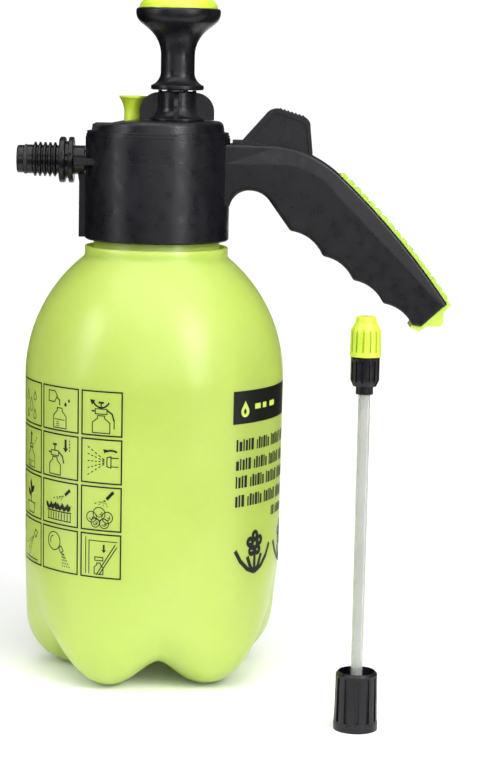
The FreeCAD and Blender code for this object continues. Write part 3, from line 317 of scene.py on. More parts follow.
def make_green_rubber():
    """Lime soft grip rubber, finely grained."""
    surface = Surface("lime_soft_grip", (0.43, 0.62, 0.07), 0.58, Specular_IOR_Level=0.3,
                      Sheen_Weight=0.15, Sheen_Roughness=0.6)
    surface.soften(0.35)
    surface.tint(surface.remap(surface.noise(5, 3), 0.45, 0.7, 0, 0.4), (0.53, 0.70, 0.13))
    surface.vary_roughness(surface.noise(3, 3), 0.08)
    surface.bump(surface.cells(0.5), 0.02)
    return surface.material


def make_clear_tube():
    """Milky clear tube with faint lines along its length, as extrusion leaves them."""
    surface = Surface("clear_tube", (0.66, 0.68, 0.64), 0.16, Transmission_Weight=0.72, IOR=1.45,
                      Specular_IOR_Level=0.5)
    surface.tint(surface.remap(surface.noise(12, 2, stretch=(1, 1, 0.2)), 0.4, 0.7, 0, 0.4),
                 (0.80, 0.81, 0.79))
    surface.vary_roughness(surface.noise(2, 2, stretch=(1, 1, 0.1)), 0.05)
    surface.bump(surface.noise(1.2, 2, stretch=(1, 1, 0.05)), 0.02)
    return surface.material


def make_white_plastic():
    """White acetal of the small inner parts."""
    surface = Surface("white_acetal", (0.78, 0.78, 0.74), 0.36, Subsurface_Weight=0.15,
                      Subsurface_Scale=0.002)
    surface.tint(surface.remap(surface.noise(6, 2), 0.4, 0.7, 0, 0.4), (0.70, 0.70, 0.64))
    surface.vary_roughness(surface.noise(3, 2), 0.06)
    surface.bump(surface.noise(0.4, 2), 0.01)
    return surface.material


def make_seal_rubber():
    """Dull black rubber of the seals."""
    surface = Surface("seal_rubber", (0.016, 0.016, 0.017), 0.62, Specular_IOR_Level=0.3,
                      Sheen_Weight=0.1, Sheen_Roughness=0.5)
    surface.tint(surface.remap(surface.noise(1.6, 3), 0.5, 0.75, 0, 0.5), (0.035, 0.035, 0.037))
    surface.vary_roughness(surface.noise(1.0, 3), 0.1)
    surface.bump(surface.noise(0.3, 3), 0.015)
    return surface.material


def make_spring_steel():
    """Drawn spring wire, slightly tarnished."""
    surface = Surface("spring_steel", (0.52, 0.52, 0.53), 0.3, Metallic=1.0)
    surface.tint(surface.remap(surface.noise(1.5, 3), 0.45, 0.75, 0, 0.6), (0.36, 0.35, 0.34))
    surface.vary_roughness(surface.noise(0.8, 3), 0.1)
    surface.bump(surface.noise(0.25, 2, stretch=(1, 1, 4)), 0.008)
    return surface.material


def make_ink(name, colour):
    """Screen-printed ink: thin, a little uneven, slightly glossier than the bottle."""
    surface = Surface(name, colour, 0.42, Specular_IOR_Level=0.25)
    surface.tint(surface.remap(surface.noise(1.3, 3), 0.5, 0.8, 0, 0.35),
                 tuple(part * 1.5 + 0.006 for part in colour))
    surface.vary_roughness(surface.noise(0.6, 2), 0.08)
    surface.bump(surface.noise(0.35, 2), 0.006)
    return surface.material


def dress(node, material):
    """Gives a CAD node one finish in all its material slots."""
    mesh = frame["nodes"][node].data
    if not mesh.materials:
        mesh.materials.append(material)
    for index in range(len(mesh.materials)):
        mesh.materials[index] = material


# ---------------------------------------------------------------- meshes
def add_piece(name, points, faces, material, body, sharp=35):
    """Makes a shaded mesh piece that rides on a body; points are in millimetres."""
    mesh = bpy.data.meshes.new(name)
    mesh.from_pydata((np.asarray(points, float) * MM).tolist(), [], faces)
    mesh.validate()
    mesh.shade_smooth()
    mesh.set_sharp_from_angle(angle=math.radians(sharp))
    mesh.materials.append(material)
    piece = bpy.data.objects.new(name, mesh)
    bpy.context.scene.collection.objects.link(piece)
    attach(piece, body)
    return piece


def resample(path, count):
    """Evenly spaced points along a polyline of radius and height."""
    path = np.asarray(path, float)
    steps = np.r_[0, np.cumsum(np.hypot(*np.diff(path, axis=0).T))]
    wanted = np.linspace(0, steps[-1], count)
    return np.c_[np.interp(wanted, steps, path[:, 0]), np.interp(wanted, steps, path[:, 1])]


def arc_points(centre, radius, start, end, count):
    """Points of an arc; angles in degrees, 0 outward and 90 up."""
    angles = np.radians(np.linspace(start, end, count))
    return [(centre[0] + radius * math.cos(a), centre[1] + radius * math.sin(a)) for a in angles]


def soften_path(path, rounds):
    """Rounds a path's corners by averaging neighbours; the ends stay."""
    path = np.array(path, float)
    for _ in range(rounds):
        path[1:-1] = (path[:-2] + 2 * path[1:-1] + path[2:]) / 4
    return path


# ---------------------------------------------------------------- bottle
SEGMENTS = 240  # points round each ring; the rows below are rings up the body
FOOT_ROWS = 56
WALL_ROWS = 13
SHOULDER_ROWS = 33
SMOOTH_ROUNDS = 6

BASE_HEIGHT = 12.0
FOOT_RADIUS = 25.6
FOOT_REACH = 37.0
FOOT_COUNT = 5
WALL_FOOT = (62.6, 25.6)  # radius and height, as in every pair below
WALL_TOP = (63.3, 147.5)
BLEND_TOP = 78.0  # the valleys have run out into the round wall here
BOTTLE_WALL = 1.8

VALLEY_ANGLE = -10.0  # degrees from +x to the first valley
VALLEY_CENTRE = (29.0, 42.5)
VALLEY_RADIUS = 31.0
VALLEY_TOP = 58.0
CREASE_ROUNDING = 0.004  # these two shape the wall between a valley and a foot
CREASE_POWER = 1.6

SHOULDER_CENTRE = (-11.7, 147.5)
SHOULDER_RADIUS = 75.0
NECK_RING = 34.9
INNER_END = 33.5  # the inner shoulder stops at this radius, where the neck bore begins
INNER_BASE_TOP = 100  # below this height every inner row is kept
THREAD = {"root": 30.6, "crest": 31.5, "pitch": 5.0, "start": 217.0, "turns": 2.6,
          "half_width": 1.05, "flank": 0.65, "run_out": 0.08}
THREAD_SPAN = (213.5, 235.0)
THREAD_ROW = 0.45


def wall_radius(height):
    """The bottle's outer radius above its feet."""
    if height <= WALL_TOP[1]:
        share = (height - WALL_FOOT[1]) / (WALL_TOP[1] - WALL_FOOT[1])
        return WALL_FOOT[0] + share * (WALL_TOP[0] - WALL_FOOT[0])
    rise = height - SHOULDER_CENTRE[1]
    return SHOULDER_CENTRE[0] + math.sqrt(SHOULDER_RADIUS ** 2 - rise ** 2)


def foot_profile():
    """From the centre of the base, down to a foot and up into the wall."""
    path = [(0, BASE_HEIGHT), (10, BASE_HEIGHT), (18, 10.5), (30, 0.3), (FOOT_REACH, 0.0)]
    path += arc_points((FOOT_REACH, FOOT_RADIUS), FOOT_RADIUS, -90, 0, 24)[1:]
    return path + [(wall_radius(BLEND_TOP), BLEND_TOP)]


def valley_profile():
    """From the centre of the base, along a valley between two feet and up into the wall."""
    path = [(0, BASE_HEIGHT), (18, BASE_HEIGHT), (26, 11.8)]
    path += arc_points(VALLEY_CENTRE, VALLEY_RADIUS, -84, -8, 26)
    return path + [(wall_radius(z), z) for z in (VALLEY_TOP, BLEND_TOP)]


def thread_height(angle, height):
    """How far the helical neck thread stands out at a place on the neck, in millimetres."""
    turn = angle / (2 * math.pi)
    along = (height - THREAD["start"]) / THREAD["pitch"] - turn
    nearest = round(along)
    travelled = nearest + turn
    if not 0 <= travelled <= THREAD["turns"]:
        return 0.0
    flank = abs(along - nearest) * THREAD["pitch"]
    shape = min(1.0, max(0.0, (THREAD["half_width"] - flank) / THREAD["flank"]))
    ends = min(travelled, THREAD["turns"] - travelled) / THREAD["run_out"]
    return (THREAD["crest"] - THREAD["root"]) * shape * min(1.0, ends)


def smooth_rows(profile):
    """The rows of a base profile, with its corners rounded."""
    return resample(soften_path(resample(profile, FOOT_ROWS * 2), SMOOTH_ROUNDS), FOOT_ROWS)


def bottle_rows():
    """Rings of outer points from the middle of the base up to the mouth."""
    angles = np.linspace(0, 2 * np.pi, SEGMENTS, endpoint=False)
    foot, valley = smooth_rows(foot_profile()), smooth_rows(valley_profile())
    phase = FOOT_COUNT / 2 * (angles - math.radians(VALLEY_ANGLE))
    crease = np.sqrt(np.sin(phase) ** 2 + CREASE_ROUNDING) ** CREASE_POWER
    share = 1 - (crease - crease.min()) / (crease.max() - crease.min())
    share = np.clip(share, 0, 1)[:, None]
    rows = [foot[i] * (1 - share) + valley[i] * share for i in range(FOOT_ROWS)]
    heights = np.linspace(BLEND_TOP, WALL_TOP[1], WALL_ROWS + 1)[1:]
    above = [(wall_radius(z), z) for z in heights]
    ring_height = SHOULDER_CENTRE[1] + math.sqrt(
        SHOULDER_RADIUS ** 2 - (NECK_RING - SHOULDER_CENTRE[0]) ** 2)
    heights = np.linspace(WALL_TOP[1], ring_height - 0.2, SHOULDER_ROWS + 1)[1:]
    above += [(wall_radius(z), z) for z in heights]
    root = THREAD["root"]
    above += [(NECK_RING + 0.02, ring_height + 0.6), (NECK_RING, ring_height + 2.0),
              (NECK_RING, 210.7), (NECK_RING - 0.4, 211.2), (33.7, 211.2),
              (33.5, 210.9), (33.5, 209.2), (33.2, 209.0),
              (31.0, 209.0), (root, 209.4), (root, 213.0)]
    rows += [np.full((SEGMENTS, 2), pair) for pair in above]
    for height in np.arange(*THREAD_SPAN, THREAD_ROW):
        radii = [root + thread_height(a, height) for a in angles]
        rows.append(np.c_[radii, np.full(SEGMENTS, height)])
    mouth = [(root, 235.4), (30.2, 235.9), (29.8, 236.0), (28.9, 236.0), (28.5, 235.7)]
    rows += [np.full((SEGMENTS, 2), pair) for pair in mouth]
    across, up = np.cos(angles), np.sin(angles)
    grid = [np.c_[row[:, 0] * across, row[:, 0] * up, row[:, 1]] for row in rows]
    return np.array(grid), FOOT_ROWS + WALL_ROWS + SHOULDER_ROWS


def inner_rows(outer, body_rows):
    """The inside surface: the body's rings moved in by the wall, under a plain neck bore."""
    body = outer[:body_rows]
    along = np.gradient(body, axis=0)
    around = np.roll(body, -1, axis=1) - np.roll(body, 1, axis=1)
    normals = np.cross(around, along)
    size = np.linalg.norm(normals, axis=2, keepdims=True)
    normals = np.where(size > 1e-9, normals / np.maximum(size, 1e-9), (0, 0, -1.0))
    inside = body - normals * BOTTLE_WALL
    keep = [row for row in inside[1:]
            if np.hypot(row[0, 0], row[0, 1]) > INNER_END or row[0, 2] < INNER_BASE_TOP]
    angles = np.linspace(0, 2 * np.pi, SEGMENTS, endpoint=False)
    neck = [(31.5, 205.6), (29.0, 207.4), (28.5, 209.5), (28.5, 222.0)]
    rings = [np.c_[r * np.cos(angles), r * np.sin(angles), np.full(SEGMENTS, z)]
             for r, z in neck]
    return np.array(keep + rings)


def make_bottle():
    """The blow-moulded bottle: five feet, straight wall, domed shoulder and threaded neck."""
    outer, body_rows = bottle_rows()
    inner = inner_rows(outer, body_rows)[::-1]
    rings = np.concatenate([outer[1:], inner])
    middles = [outer[0, 0].tolist(), (0, 0, BASE_HEIGHT + BOTTLE_WALL)]
    points = rings.reshape(-1, 3).tolist() + middles
    last = len(rings) - 1
    faces = []
    for row in range(last):
        for i in range(SEGMENTS):
            j = (i + 1) % SEGMENTS
            low, high = row * SEGMENTS, (row + 1) * SEGMENTS
            faces.append((low + i, low + j, high + j, high + i))
    for i in range(SEGMENTS):
        j = (i + 1) % SEGMENTS
        faces.append((len(points) - 2, j, i))
        faces.append((len(points) - 1, last * SEGMENTS + i, last * SEGMENTS + j))
    bottle = add_piece("bottle_shell", points, faces, make_bottle_plastic(),
                       "base", 50)
    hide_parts("bottle")


# ---------------------------------------------------------------- printed graphics
# Each drawing's u and v are millimetres from its own lower left corner.
INK_LIFT = (-0.03, 0.05)
TOP_INK_LIFT = (0.02, 0.09)
STROKE_STEP = 2.0
BLOCK_STEP = 2.5
DASH_GAP = 0.45


class Print:
    """Ink shapes on the bottle: u runs round the wall to the right and v up, from a corner."""

    def __init__(self, lift=INK_LIFT):
        self.lift = lift
        self.points, self.faces = [], []
        self.corner = (0.0, 0.0)

    def at(self, angle, height):
        """Moves the drawing's corner: degrees to the right of the front, and a height."""
        self.corner = (angle, height)

    def place(self, u, v, lift):
        """The point in space of a place in the drawing, lifted off the wall."""
        angle = math.radians(self.corner[0] - 90) + u / WALL_TOP[0]
        height = self.corner[1] + v
        radius = wall_radius(height) + lift
        return (radius * math.cos(angle), radius * math.sin(angle), height)

    def solid(self, corners, triangles):
        """A thin closed slab from flat corners and triangles that turn to the left."""
        base = len(self.points)
        count = len(corners)
        for lift in self.lift:
            self.points += [self.place(u, v, lift) for u, v in corners]
        used = {}
        for tri in triangles:
            self.faces.append(tuple(base + count + i for i in tri))
            self.faces.append(tuple(base + i for i in reversed(tri)))
            for a, b in zip(tri, tri[1:] + tri[:1]):
                used[(a, b)] = True
        for a, b in used:
            if (b, a) not in used:
                self.faces.append((base + a, base + b, base + count + b, base + count + a))

    def fill(self, corners):
        """A filled shape of any outline."""
        sides = zip(corners, corners[1:] + corners[:1])
        area = sum(a[0] * b[1] - b[0] * a[1] for a, b in sides)
        corners = corners if area > 0 else corners[::-1]
        triangles = []
        for tri in tessellate_polygon([[(u, v, 0) for u, v in corners]]):
            a, b, c = (corners[i] for i in tri)
            turn = (b[0] - a[0]) * (c[1] - a[1]) - (b[1] - a[1]) * (c[0] - a[0])
            triangles.append(tuple(tri) if turn > 0 else tuple(reversed(tri)))
        self.solid(corners, triangles)

    def line(self, path, width=0.45, closed=False):
        """A stroke of even width along a path, mitred at its corners."""
        path = dense(path + path[:1] if closed else path)
        if closed:
            path = path[:-1]
        left, right = [], []
        last = len(path) - 1
        for i, (u, v) in enumerate(path):
            before = path[i - 1] if i or closed else None
            after = path[(i + 1) % len(path)] if i < last or closed else None
            ins = direction(before, (u, v)) if before else direction((u, v), after)
            out = direction((u, v), after) if after else ins
            normal = (-(ins[1] + out[1]), ins[0] + out[0])
            size = math.hypot(*normal) or 1.0
            normal = (normal[0] / size, normal[1] / size)
            along = max(0.5, normal[0] * -out[1] + normal[1] * out[0])
            step = width / 2 / along
            left.append((u + normal[0] * step, v + normal[1] * step))
            right.append((u - normal[0] * step, v - normal[1] * step))
        count = len(path)
        triangles = []
        for i in range(count if closed else count - 1):
            j = (i + 1) % count
            triangles += [(count + i, count + j, j), (count + i, j, i)]
        self.solid(left + right, triangles)

    def dash(self, path, pieces, width=0.45):
        """A dashed straight stroke."""
        (u0, v0), (u1, v1) = path
        for k in range(pieces):
            a, b = k / pieces, (k + 1 - DASH_GAP) / pieces
            self.line([(u0 + (u1 - u0) * a, v0 + (v1 - v0) * a),
                       (u0 + (u1 - u0) * b, v0 + (v1 - v0) * b)], width)

    def disc(self, u, v, radius):
        """A filled round spot."""
        self.fill(circle(u, v, radius))

    def ring(self, u, v, radius, width=0.45):
        """A circle's outline."""
        self.line(circle(u, v, radius), width, closed=True)

    def arrow(self, tail, tip, width=1.3):
        """A solid arrow with a wide head."""
        du, dv = direction(tail, tip)
        nu, nv = -dv, du
        neck = (tip[0] - du * width * 1.6, tip[1] - dv * width * 1.6)
        side = [(tail, 0.5), (neck, 0.5), (neck, 1.35)]
        corners = [(p[0] + nu * width * k, p[1] + nv * width * k) for p, k in side]
        corners.append(tip)
        corners += [(p[0] - nu * width * k, p[1] - nv * width * k)
                    for p, k in reversed(side)]
        self.fill(corners)

    def finish(self, name, material):
        """Turns the drawing into one piece on the bottle."""
        add_piece(name, self.points, self.faces, material, "base", 30)


def direction(start, end):
    """Unit vector from one point to another."""
    du, dv = end[0] - start[0], end[1] - start[1]
    size = math.hypot(du, dv) or 1.0
    return du / size, dv / size


def dense(path):
    """The path with extra points, so that long strokes follow the bottle's curve."""
    points = [path[0]]
    for start, end in zip(path, path[1:]):
        count = max(1, math.ceil(math.dist(start, end) / STROKE_STEP))
        points += [(start[0] + (end[0] - start[0]) * k / count,
                    start[1] + (end[1] - start[1]) * k / count)
                   for k in range(1, count + 1)]
    return points


def circle(u, v, radius, start=0, end=360, count=20):
    """Points of a circle, or of part of one when its angles are given."""
    whole = end - start == 360
    angles = np.radians(np.linspace(start, end, count + 1))[:count if whole else None]
    return [(u + radius * math.cos(a), v + radius * math.sin(a)) for a in angles]


def drop(u, v, size):
    """Outline of a water drop whose round end is at the bottom."""
    return [(u, v + size * 1.9)] + circle(u, v, size, 25, -205, 16)


def leaf(u, v, length, lean):
    """Outline of a leaf that grows from a point; lean is its angle from upright."""
    a = math.radians(90 - lean)
    shape = [(0, 0), (0.25, 0.17), (0.5, 0.23), (0.78, 0.15),
             (1, 0), (0.78, -0.15), (0.5, -0.23), (0.25, -0.17)]
    return [(u + length * (x * math.cos(a) - y * math.sin(a)),
             v + length * (x * math.sin(a) + y * math.cos(a))) for x, y in shape]


def tank(ink, u, v, wide, tall, level=0.0):
    """A small bottle in outline, with its level drawn when it is given."""
    half = wide / 2
    neck, shoulder, throat, top = half * 0.4, v + tall * 0.6, v + tall * 0.85, v + tall
    ink.line([(u - half, v), (u - half, shoulder), (u - neck, throat), (u - neck, top),
              (u + neck, top), (u + neck, throat), (u + half, shoulder), (u + half, v)],
             closed=True)
    if level:
        ink.line([(u - half * 0.8, v + tall * level), (u + half * 0.8, v + tall * level)], 0.35)
        for k in range(3):
            low = v + tall * level * (0.25 + 0.22 * k)
            ink.line([(u - half * 0.55, low), (u - half * 0.1, low)], 0.3)


def head_on(ink, u, v, wide):
    """A sprayer's head in outline, standing on a bottle neck."""
    half = wide / 2
    ink.line([(u - half, v), (u - half, v + 2.4), (u + half, v + 2.4), (u + half, v)],
             closed=True)
    ink.line([(u + half, v + 2.0), (u + half + 2.6, v + 0.2), (u + half + 3.6, v - 3.2)], 0.7)
    ink.line([(u - half, v + 1.3), (u - half - 2.0, v + 1.3)], 0.7)
    ink.line([(u, v + 2.4), (u, v + 5.2)], 0.6)
    ink.line([(u - 1.4, v + 5.4), (u + 1.4, v + 5.4)], 0.9)


def icon_fill(ink):
    """Filling the bottle with water."""
    tank(ink, 10.5, 1.2, 8.6, 9.6, 0.42)
    ink.line([(2.6, 18.6), (2.6, 13.4), (7.0, 13.4), (8.8, 16.4), (7.2, 18.6)],
             closed=True)
    ink.line([(8.6, 15.6), (10.4, 14.6), (10.6, 12.0)], 0.6)
    ink.fill(drop(14.4, 12.6, 0.75))
    ink.fill(drop(16.6, 14.6, 0.6))


def icon_close(ink):
    """Screwing the head on."""
    tank(ink, 10.0, 1.2, 9.0, 8.2)
    head_on(ink, 10.0, 10.2, 6.0)
    ink.line(circle(10.0, 17.6, 4.4, 205, 335, 10), 0.8)
    ink.fill([(5.2, 14.2), (6.9, 16.6), (4.2, 16.9)])
    ink.line([(16.6, 8.0), (16.6, 3.4)], 0.45)


def icon_pump(ink):
    """Pumping up the pressure."""
    tank(ink, 7.2, 1.2, 8.0, 8.4)
    head_on(ink, 7.2, 10.3, 5.4)
    ink.arrow((14.6, 18.8), (14.6, 12.6), 1.25)
    ink.dash([(17.2, 18.6), (17.2, 12.6)], 4, 0.5)


def icon_cone(ink):
    """A wide cone of spray."""
    ink.line([(13.2, 8.2), (13.2, 12.4), (15.2, 13.0), (15.2, 7.6)], closed=True)
    ink.line([(15.2, 8.2), (19.0, 8.2)])
    ink.line([(15.2, 12.4), (19.0, 12.4)])
    for k in range(5):
        end = (2.2, 10.3 + (k - 2) * 3.7)
        ink.dash([(11.9, 10.3 + (k - 2) * 0.5), end], 5, 0.42)
    ink.line(circle(15.4, 10.3, 5.6, 60, 120, 8), 0.9)
    ink.fill([(12.0, 14.2), (13.3, 16.2), (11.2, 16.3)])


def icon_jet(ink):
    """A narrow jet."""
    ink.line([(14.6, 14.0), (16.4, 16.8), (18.4, 15.6), (16.6, 12.8)], closed=True)
    for k in range(3):
        ink.dash([(13.8, 13.0 - k * 0.3), (3.4 + k * 2.2, 7.6 - k * 2.6)], 6, 0.42)
    ink.line([(1.6, 1.8), (18.6, 1.8)], 0.5)


def icon_shrub(ink):
    """Spraying a shrub."""
    balls = [(5.4, 6.2, 2.6), (9.4, 8.0, 3.1), (13.6, 6.4, 2.7), (7.4, 3.6, 2.2),
             (12.0, 3.4, 2.3)]
    for u, v, r in balls:
        ink.ring(u, v, r, 0.42)
        ink.line(circle(u, v, r * 0.5, 200, 400, 8), 0.36)
        ink.disc(u + r * 0.2, v - r * 0.1, 0.36)
    ink.line([(13.2, 15.2), (16.6, 18.8)], 1.5)
    for k in range(4):
        ink.dash([(12.4, 14.6), (6.0 + k * 2.6, 12.4 - k * 0.5)], 3, 0.38)


def icon_bed(ink):
    """Spraying a bed of plants."""
    for k in range(6):
        u = 2.8 + k * 2.7
        ink.fill(leaf(u, 6.6, 4.2, -28 + 11 * (k % 3)))
        ink.fill(leaf(u, 6.6, 3.6, 34 - 9 * (k % 2)))
    ink.line([(1.6, 6.2), (18.4, 6.2)], 0.6)
    ink.line([(1.8, 2.0), (18.2, 2.0)], 0.5)
    for k in range(9):
        ink.line([(2.6 + k * 1.9, 5.6), (2.6 + k * 1.9, 2.4)], 0.5)
    ink.line([(14.4, 14.6), (17.6, 17.4)], 1.5)
    for k in range(3):
        ink.dash([(13.6, 14.2), (5.4 + k * 3.0, 12.2 - k * 0.3)], 4, 0.4)


def icon_rinse(ink):
    """Rinsing the nozzle."""
    ink.ring(6.8, 14.2, 4.4)
    ink.line([(10.2, 11.2), (11.8, 12.4), (13.4, 10.2), (11.8, 9.0)], closed=True)
    for k in range(4):
        ink.dash([(12.4 + k * 0.4, 9.0 - k * 0.1), (13.0 + k * 1.6, 1.8)], 5, 0.4)
    ink.line(circle(6.8, 14.2, 2.6, 100, 210, 8), 0.4)


def icon_frame(ink):
    """Putting the sprayer away under cover."""
    ink.line([(2.4, 1.4), (2.4, 19.2)], 0.4)
    ink.line([(4.2, 1.4), (4.2, 17.6), (18.8, 17.6)], 0.4)
    ink.line([(8.2, 1.2), (17.8, 16.4)], 0.5)
    ink.line([(9.6, 1.2), (18.6, 15.2)], 0.5)
    tank(ink, 9.4, 1.6, 4.6, 5.4)
    ink.line([(7.4, 8.2), (11.6, 8.2), (11.6, 9.8), (7.4, 9.8)], closed=True)
    ink.arrow((12.0, 16.0), (12.0, 12.0), 0.9)


def icon_sprout(ink):
    """A potted seedling."""
    ink.line([(6.2, 1.6), (5.0, 6.6), (15.2, 6.6), (14.0, 1.6)], closed=True)
    ink.line([(10.1, 6.6), (10.1, 13.0)], 0.6)
    ink.fill(leaf(10.1, 9.4, 6.0, -52))
    ink.fill(leaf(10.1, 11.0, 6.0, 46))
    ink.fill(leaf(10.1, 12.6, 5.2, 0))


def icon_release(ink):
    """Letting the pressure out."""
    tank(ink, 10.4, 1.4, 9.0, 9.4, 0.3)
    ink.line([(8.2, 11.0), (12.6, 11.0), (12.6, 12.6), (8.2, 12.6)], closed=True)
    ink.arrow((10.4, 13.2), (10.4, 18.8), 1.1)
    ink.dash([(6.0, 13.0), (2.6, 17.0)], 3, 0.42)
    ink.dash([(14.8, 13.0), (18.0, 17.0)], 3, 0.42)


def icon_drops(ink):
    """Falling drops."""
    drops = [(5.0, 12.6, 1.7), (10.2, 8.2, 2.3), (15.2, 13.2, 1.5), (5.6, 4.0, 1.3),
             (15.0, 4.2, 1.6)]
    for u, v, size in drops:
        ink.line(drop(u, v, size), 0.45, closed=True)


CELL_WIDTH = 20.2
CELL_HEIGHT = 20.8
FRAME_STROKE = 0.7
COLUMNS = [(-11.5, 20.6), (-32.2, 24.2), (-56.2, 24.2)]  # right edge in degrees, width
GRID_TOP = 147.4
ROW_PITCH = 22.7
ICONS = [
    [icon_close, icon_cone, icon_shrub, icon_frame],
    [icon_fill, icon_pump, icon_bed, icon_rinse],
    [icon_drops, icon_release, icon_sprout, icon_jet],
]


def make_icon_grid():
    """Three columns of four framed drawings on the bottle's left front."""
    ink = Print()
    for (right, wide), icons in zip(COLUMNS, ICONS):
        angle = right - math.degrees(wide / WALL_TOP[0])
        inset = math.degrees((wide - CELL_WIDTH) / 2 / WALL_TOP[0])
        for row, icon in enumerate(icons):
            low = GRID_TOP - CELL_HEIGHT - row * ROW_PITCH
            ink.at(angle, low)
            ink.line([(0, 0), (wide, 0), (wide, CELL_HEIGHT), (0, CELL_HEIGHT)], FRAME_STROKE,
                     closed=True)
            ink.at(angle + inset, low)
            icon(ink)
    ink.finish("print_icon_grid", make_ink("ink_black", (0.007, 0.009, 0.004)))


def block(ink, left, right, low, high):
    """A filled rectangle in narrow strips, so that it follows the bottle's curve."""
    count = max(1, math.ceil((right - left) / BLOCK_STEP))
    edges = [left + (right - left) * k / count for k in range(count + 1)]
    corners = [(u, low) for u in edges] + [(u, high) for u in edges]
    triangles = []
    for k in range(count):
        a, b = k, k + 1
        c, d = count + 2 + k, count + 1 + k
        triangles += [(a, b, c), (a, c, d)]
    ink.solid(corners, triangles)


FLOWER_HEART = 13.9  # height above the foot of the stem
PETAL_COUNT, PETAL_REACH, PETAL_RADIUS = 5, 4.0, 2.7
STEM_STROKE, LEAF_STROKE = 1.9, 2.1


def flower(ink, u):
    """A bold flower: five round petals on a stem with four broad leaves."""
    for petal in range(PETAL_COUNT):
        lean = math.radians(90 + 360 / PETAL_COUNT * petal)
        ink.disc(u + PETAL_REACH * math.cos(lean), FLOWER_HEART + PETAL_REACH * math.sin(lean),
                 PETAL_RADIUS)
    ink.ring(u, FLOWER_HEART, 1.3, 0.8)
    ink.line([(u, 0), (u, 10.4)], STEM_STROKE)
    for side in (-1, 1):
        ink.line([(u, 0), (u + 5.5 * side, 2.2), (u + 10.5 * side, 6.6), (u + 14.0 * side, 12.0)],
                 LEAF_STROKE)
        ink.line([(u, 0), (u + 3.0 * side, 2.6), (u + 5.6 * side, 8.2)], LEAF_STROKE)


BAND_LEFT = 38.4
BAND_WIDTH = 52.0
BAND_LOW = 131.3
BAND_HIGH = 147.1
MARKS_LEFT, MARK_PITCH, MARKS_LOW, MARKS_HIGH = 14.5, 6.4, 6.4, 9.0
MARK_WIDTHS = (4.4, 3.2, 5.2)
BARS_RIGHT = 50  # no bar starts beyond this
BAR_ROWS = [  # foot, height and left end of each row
    (118.2, 5.7, 2.4), (109.0, 5.6, 2.4), (100.4, 5.8, 2.4), (91.2, 5.8, 2.4),
    (83.4, 4.6, 32.6)]
BAR_WIDTHS = (1.1, 1.8, 0.9, 1.4)
BAR_SHARES = (1.0, 0.8, 1.0, 0.9, 1.0)
BAR_GAPS = (0.8, 0.7, 0.8, 0.7, 0.8, 2.3)
EMBLEM_LOW = 58.0
FLOWER_PLACES = (16.5, 50.0)


def make_front_print():
    """A solid band with a drop in it, rows of plain bars and two flowers on the right front."""
    black = make_ink("ink_black_right", (0.007, 0.008, 0.006))
    ink = Print()
    ink.at(BAND_LEFT, BAND_LOW)
    block(ink, 0, BAND_WIDTH, 0, BAND_HIGH - BAND_LOW)
    ink.finish("print_band", black)

    lime = Print(lift=TOP_INK_LIFT)
    lime.at(BAND_LEFT, BAND_LOW)
    lime.fill(drop(7.6, 5.8, 2.7))
    for k, wide in enumerate(MARK_WIDTHS):
        left = MARKS_LEFT + k * MARK_PITCH
        block(lime, left, left + wide, MARKS_LOW, MARKS_HIGH)
    lime.finish("print_band_marks", make_ink("ink_lime", (0.52, 0.68, 0.12)))

    bars = Print()
    for row, (low, tall, start) in enumerate(BAR_ROWS):
        bars.at(BAND_LEFT, low)
        left, turn = start, row
        while left < BARS_RIGHT:
            wide = BAR_WIDTHS[turn % len(BAR_WIDTHS)]
            block(bars, left, left + wide, 0, tall * BAR_SHARES[turn % len(BAR_SHARES)])
            left += wide + BAR_GAPS[turn % len(BAR_GAPS)]
            turn += 1
    bars.finish("print_bars", black)

    emblem = Print()
    emblem.at(BAND_LEFT + 0.5, EMBLEM_LOW)
    for middle in FLOWER_PLACES:
        flower(emblem, middle)
    emblem.finish("print_emblem", black)


# ---------------------------------------------------------------- put together
COIL_TURNS = 3
COIL_STEPS = 96
WIRE_SIDES = 10


def dress_cad_nodes():
    """Gives every CAD node the finish of its slot, and returns the finishes by slot."""
    matt = make_black("black_grained", (0.0052, 0.0046, 0.0066), 0.33, 0.42, 0.024, 0.35)
    satin = make_black("black_satin", (0.0045, 0.0043, 0.0054), 0.24, 0.5, 0.010, 0.25)
    slots = {
        "black_plastic": matt, "black_gloss": satin, "green_plastic": make_green_plastic(),
        "green_rubber": make_green_rubber(), "clear_tube": make_clear_tube(),
        "white_plastic": make_white_plastic(), "seal_rubber": make_seal_rubber(),
        "spring_steel": make_spring_steel(),
        "bottle_plastic": matt,  # never seen: the bottle's CAD node is replaced
    }
    for part in frame["record"]["subparts"]:
        dress(part["node"], slots[part["material_slot"]])
    return slots


def make_coil(node, place, radius, wire, span, material):
    """A coil spring in place of a CAD one: a round wire wound along a helix between two heights.
    """
    steps, sides = COIL_STEPS, WIRE_SIDES
    low, high = span
    points = []
    for step in range(steps + 1):
        share = step / steps
        turn = 2 * math.pi * COIL_TURNS * share
        for side in range(sides):
            lean = 2 * math.pi * side / sides
            reach = radius + wire * math.cos(lean)
            points.append((place[0] + reach * math.cos(turn),
                           place[1] + reach * math.sin(turn),
                           low + (high - low) * share + wire * math.sin(lean)))
    faces = [tuple(range(sides)), tuple(steps * sides + k for k in reversed(range(sides)))]
    for step in range(steps):
        for side in range(sides):
            a, b = step * sides + side, step * sides + (side + 1) % sides
            faces.append((a, a + sides, b + sides, b))
    coil = add_piece(node + "_coil", points, faces, material, "head", 60)
    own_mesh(coil)
    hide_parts(node)


# Where the upper shell leans, in metres: its side faces, its parting line and its front end.
GRIP_SIDE = 0.0099
GRIP_START = 0.0375
SEAM_BEND = (0.087, 0.2384)
SEAM_LEVEL = 0.2523
SIDE_LEAN = 0.125


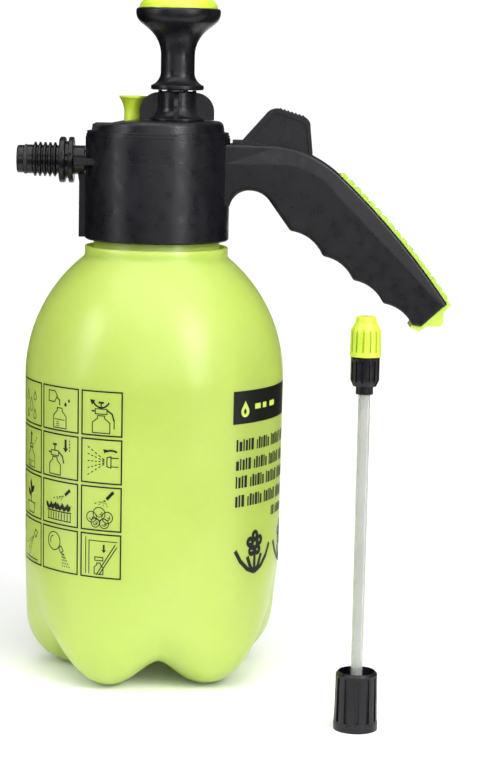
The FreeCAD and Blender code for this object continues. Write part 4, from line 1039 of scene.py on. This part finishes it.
def lean_upper_shell():
    """Leans the upper shell's sides inward above the parting line, as its mould draft does."""
    tree = bpy.data.node_groups.new("lean_sides", "GeometryNodeTree")
    tree.interface.new_socket("Geometry", in_out="INPUT", socket_type="NodeSocketGeometry")
    tree.interface.new_socket("Geometry", in_out="OUTPUT", socket_type="NodeSocketGeometry")

    def math_node(operation, first, second=0.0):
        """The result of an operation on two sockets or numbers."""
        node = tree.nodes.new("ShaderNodeMath")
        node.operation = operation
        for index, value in enumerate((first, second)):
            if isinstance(value, bpy.types.NodeSocket):
                tree.links.new(value, node.inputs[index])
            else:
                node.inputs[index].default_value = value
        return node.outputs[0]

    split = tree.nodes.new("ShaderNodeSeparateXYZ")
    tree.links.new(tree.nodes.new("GeometryNodeInputPosition").outputs[0], split.inputs[0])
    x, y, z = split.outputs
    above_level = math_node("SUBTRACT", z, SEAM_LEVEL)
    above_slope = math_node("ADD", math_node("SUBTRACT", x, SEAM_BEND[0]),
                            math_node("SUBTRACT", z, SEAM_BEND[1]))
    above_slope = math_node("MULTIPLY", above_slope, math.sqrt(0.5))
    above = math_node("MAXIMUM", math_node("MAXIMUM", above_level, above_slope), 0.0)
    outside = math_node("GREATER_THAN", math_node("ABSOLUTE", y), GRIP_SIDE)
    on_grip = math_node("MULTIPLY", outside, math_node("GREATER_THAN", x, GRIP_START))
    inward = math_node("MULTIPLY", math_node("MULTIPLY", above, -SIDE_LEAN), math_node("SIGN", y))
    shift = tree.nodes.new("ShaderNodeCombineXYZ")
    tree.links.new(math_node("MULTIPLY", inward, on_grip), shift.inputs[1])
    move = tree.nodes.new("GeometryNodeSetPosition")
    tree.links.new(shift.outputs[0], move.inputs["Offset"])
    tree.links.new(tree.nodes.new("NodeGroupInput").outputs[0], move.inputs["Geometry"])
    tree.links.new(move.outputs[0], tree.nodes.new("NodeGroupOutput").inputs[0])
    shell = frame["nodes"]["upper_housing"]
    shell.modifiers.new("lean_sides", "NODES").node_group = tree


make_camera()
make_studio()
FINISHES = dress_cad_nodes()
lean_upper_shell()
make_coil("valve_spring", (44.0, 0.0), 2.2, 0.3, (243.3, 245.4),
          FINISHES["spring_steel"])
make_coil("relief_spring", (-12.5, 9.0), 3.1, 0.4, (251.4, 259.1),
          FINISHES["spring_steel"])
make_bottle()
make_icon_grid()
make_front_print()
